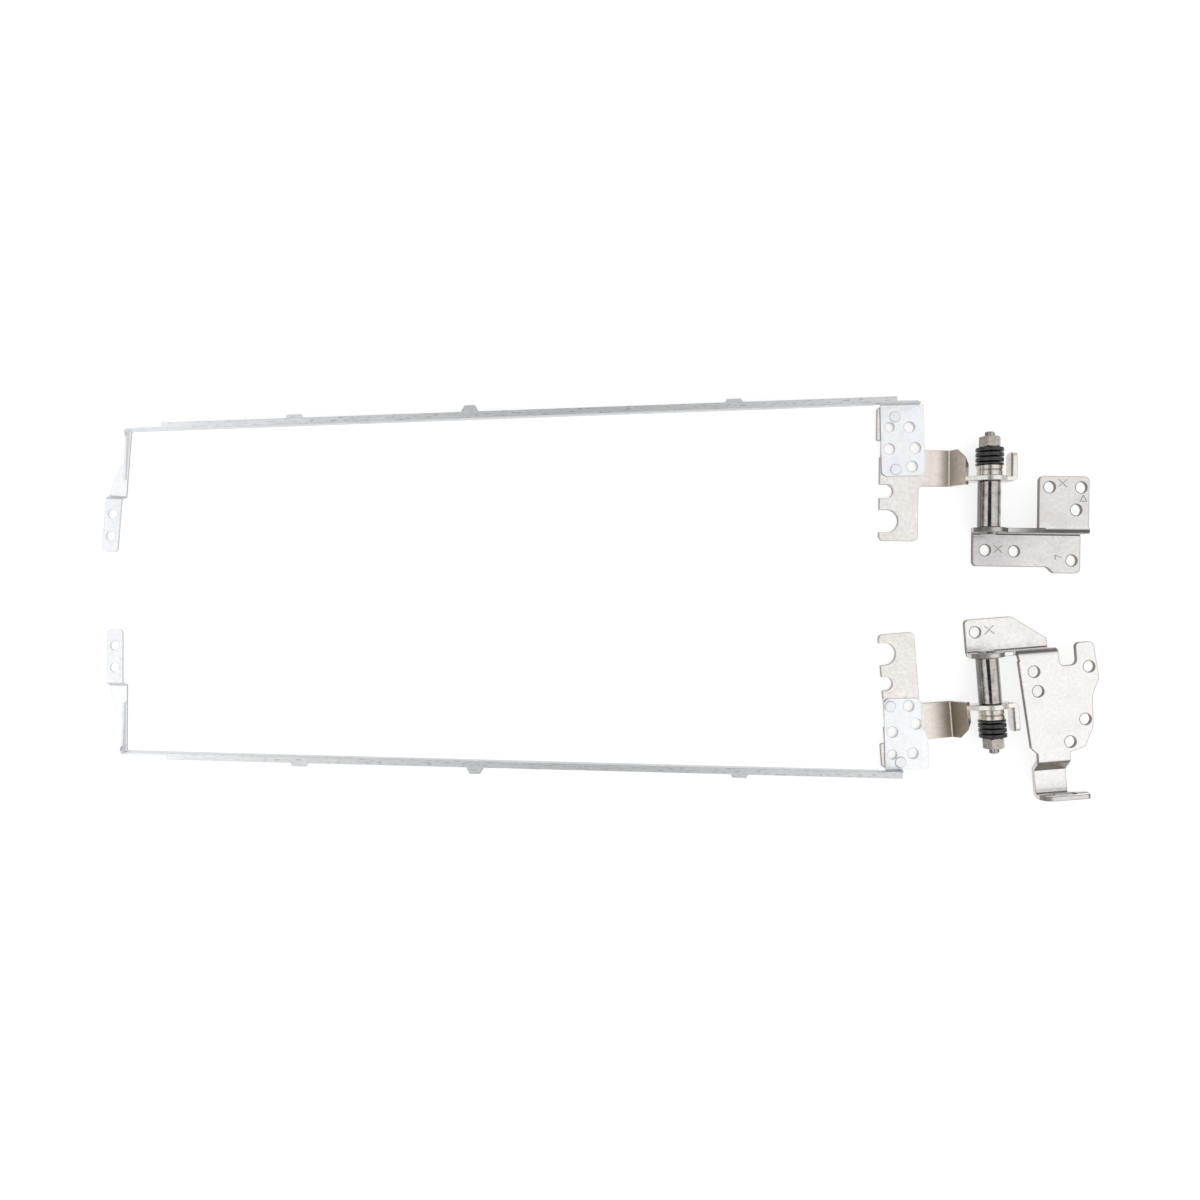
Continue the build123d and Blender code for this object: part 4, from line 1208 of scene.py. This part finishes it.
@dataclass
class OverheadView:
    """The camera, straight above the middle of the picture, in millimetres."""

    middle: Point2 = (0.86, -0.68)
    height: float = 243.0
    width: float = 324.0
    sensor: float = 36.0
    nearest: float = 10.0

    def build(self) -> None:
        """Set up the camera."""
        data = bpy.data.cameras.new("overhead")
        data.sensor_width = self.sensor
        data.lens = self.sensor * self.height / self.width
        data.clip_start = self.nearest * MM
        camera = bpy.data.objects.new("overhead", data)
        camera.location = Vector((*self.middle, self.height)) * MM
        bpy.context.scene.collection.objects.link(camera)
        bpy.context.scene.camera = camera


def write_sizes() -> None:
    """Work out the CAD model's box and the finished model's box, which are not kept."""
    boxes = {"cad": CAD_BOX, "visual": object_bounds()}
    {key: [list(corner) for corner in box] for key, box in boxes.items()}


def main() -> None:
    """Dress the pair and set up the table, the light and the camera."""
    logging.basicConfig(level=logging.INFO, format="%(name)s: %(message)s")
    bpy.context.scene.view_settings.view_transform = "Standard"
    hinges = (
        Hinge(
            RIGHT, Body.RIGHT_DISPLAY, RIGHT_MARKS, plate_inner=13.8, locating_hole=(-25.4, 13.2),
            plate_screws=((-20.1, 13.3), (-25.4, 7.4), (-18.4, 7.8), (-19.2, 2.8)),
            display_finish=RIGHT_DISPLAY_NICKEL, base_finish=RIGHT_BASE_NICKEL,
            base_holes=(
                (LOW_TOP, ((0.8, -5.6), (8.6, -5.8), (24.1, -8.1))),
                (HIGH_TOP, ((15.0, 10.8), (23.3, 10.8), (22.0, 4.9))),
            ),
        ),
        Hinge(
            LEFT, Body.LEFT_DISPLAY, LEFT_MARKS, plate_inner=9.3, locating_hole=(-25.8, 15.1),
            plate_screws=((-20.3, 15.2), (-25.3, 9.1), (-20.4, 2.5)),
            display_finish=LEFT_DISPLAY_NICKEL, base_finish=LEFT_BASE_NICKEL,
            base_holes=(
                (LOW_TOP, ((-0.9, -6.5),)),
                (HIGH_TOP, ((11.2, 4.6), (11.9, 9.8), (23.7, 18.0), (19.3, 23.6), (25.7, 4.3))),
            ),
        ),
    )
    for hinge in hinges:
        hinge.dress()
    Table().build()
    Studio().build()
    OverheadView().build()
    write_sizes()


if __name__ == "__main__":
    main()
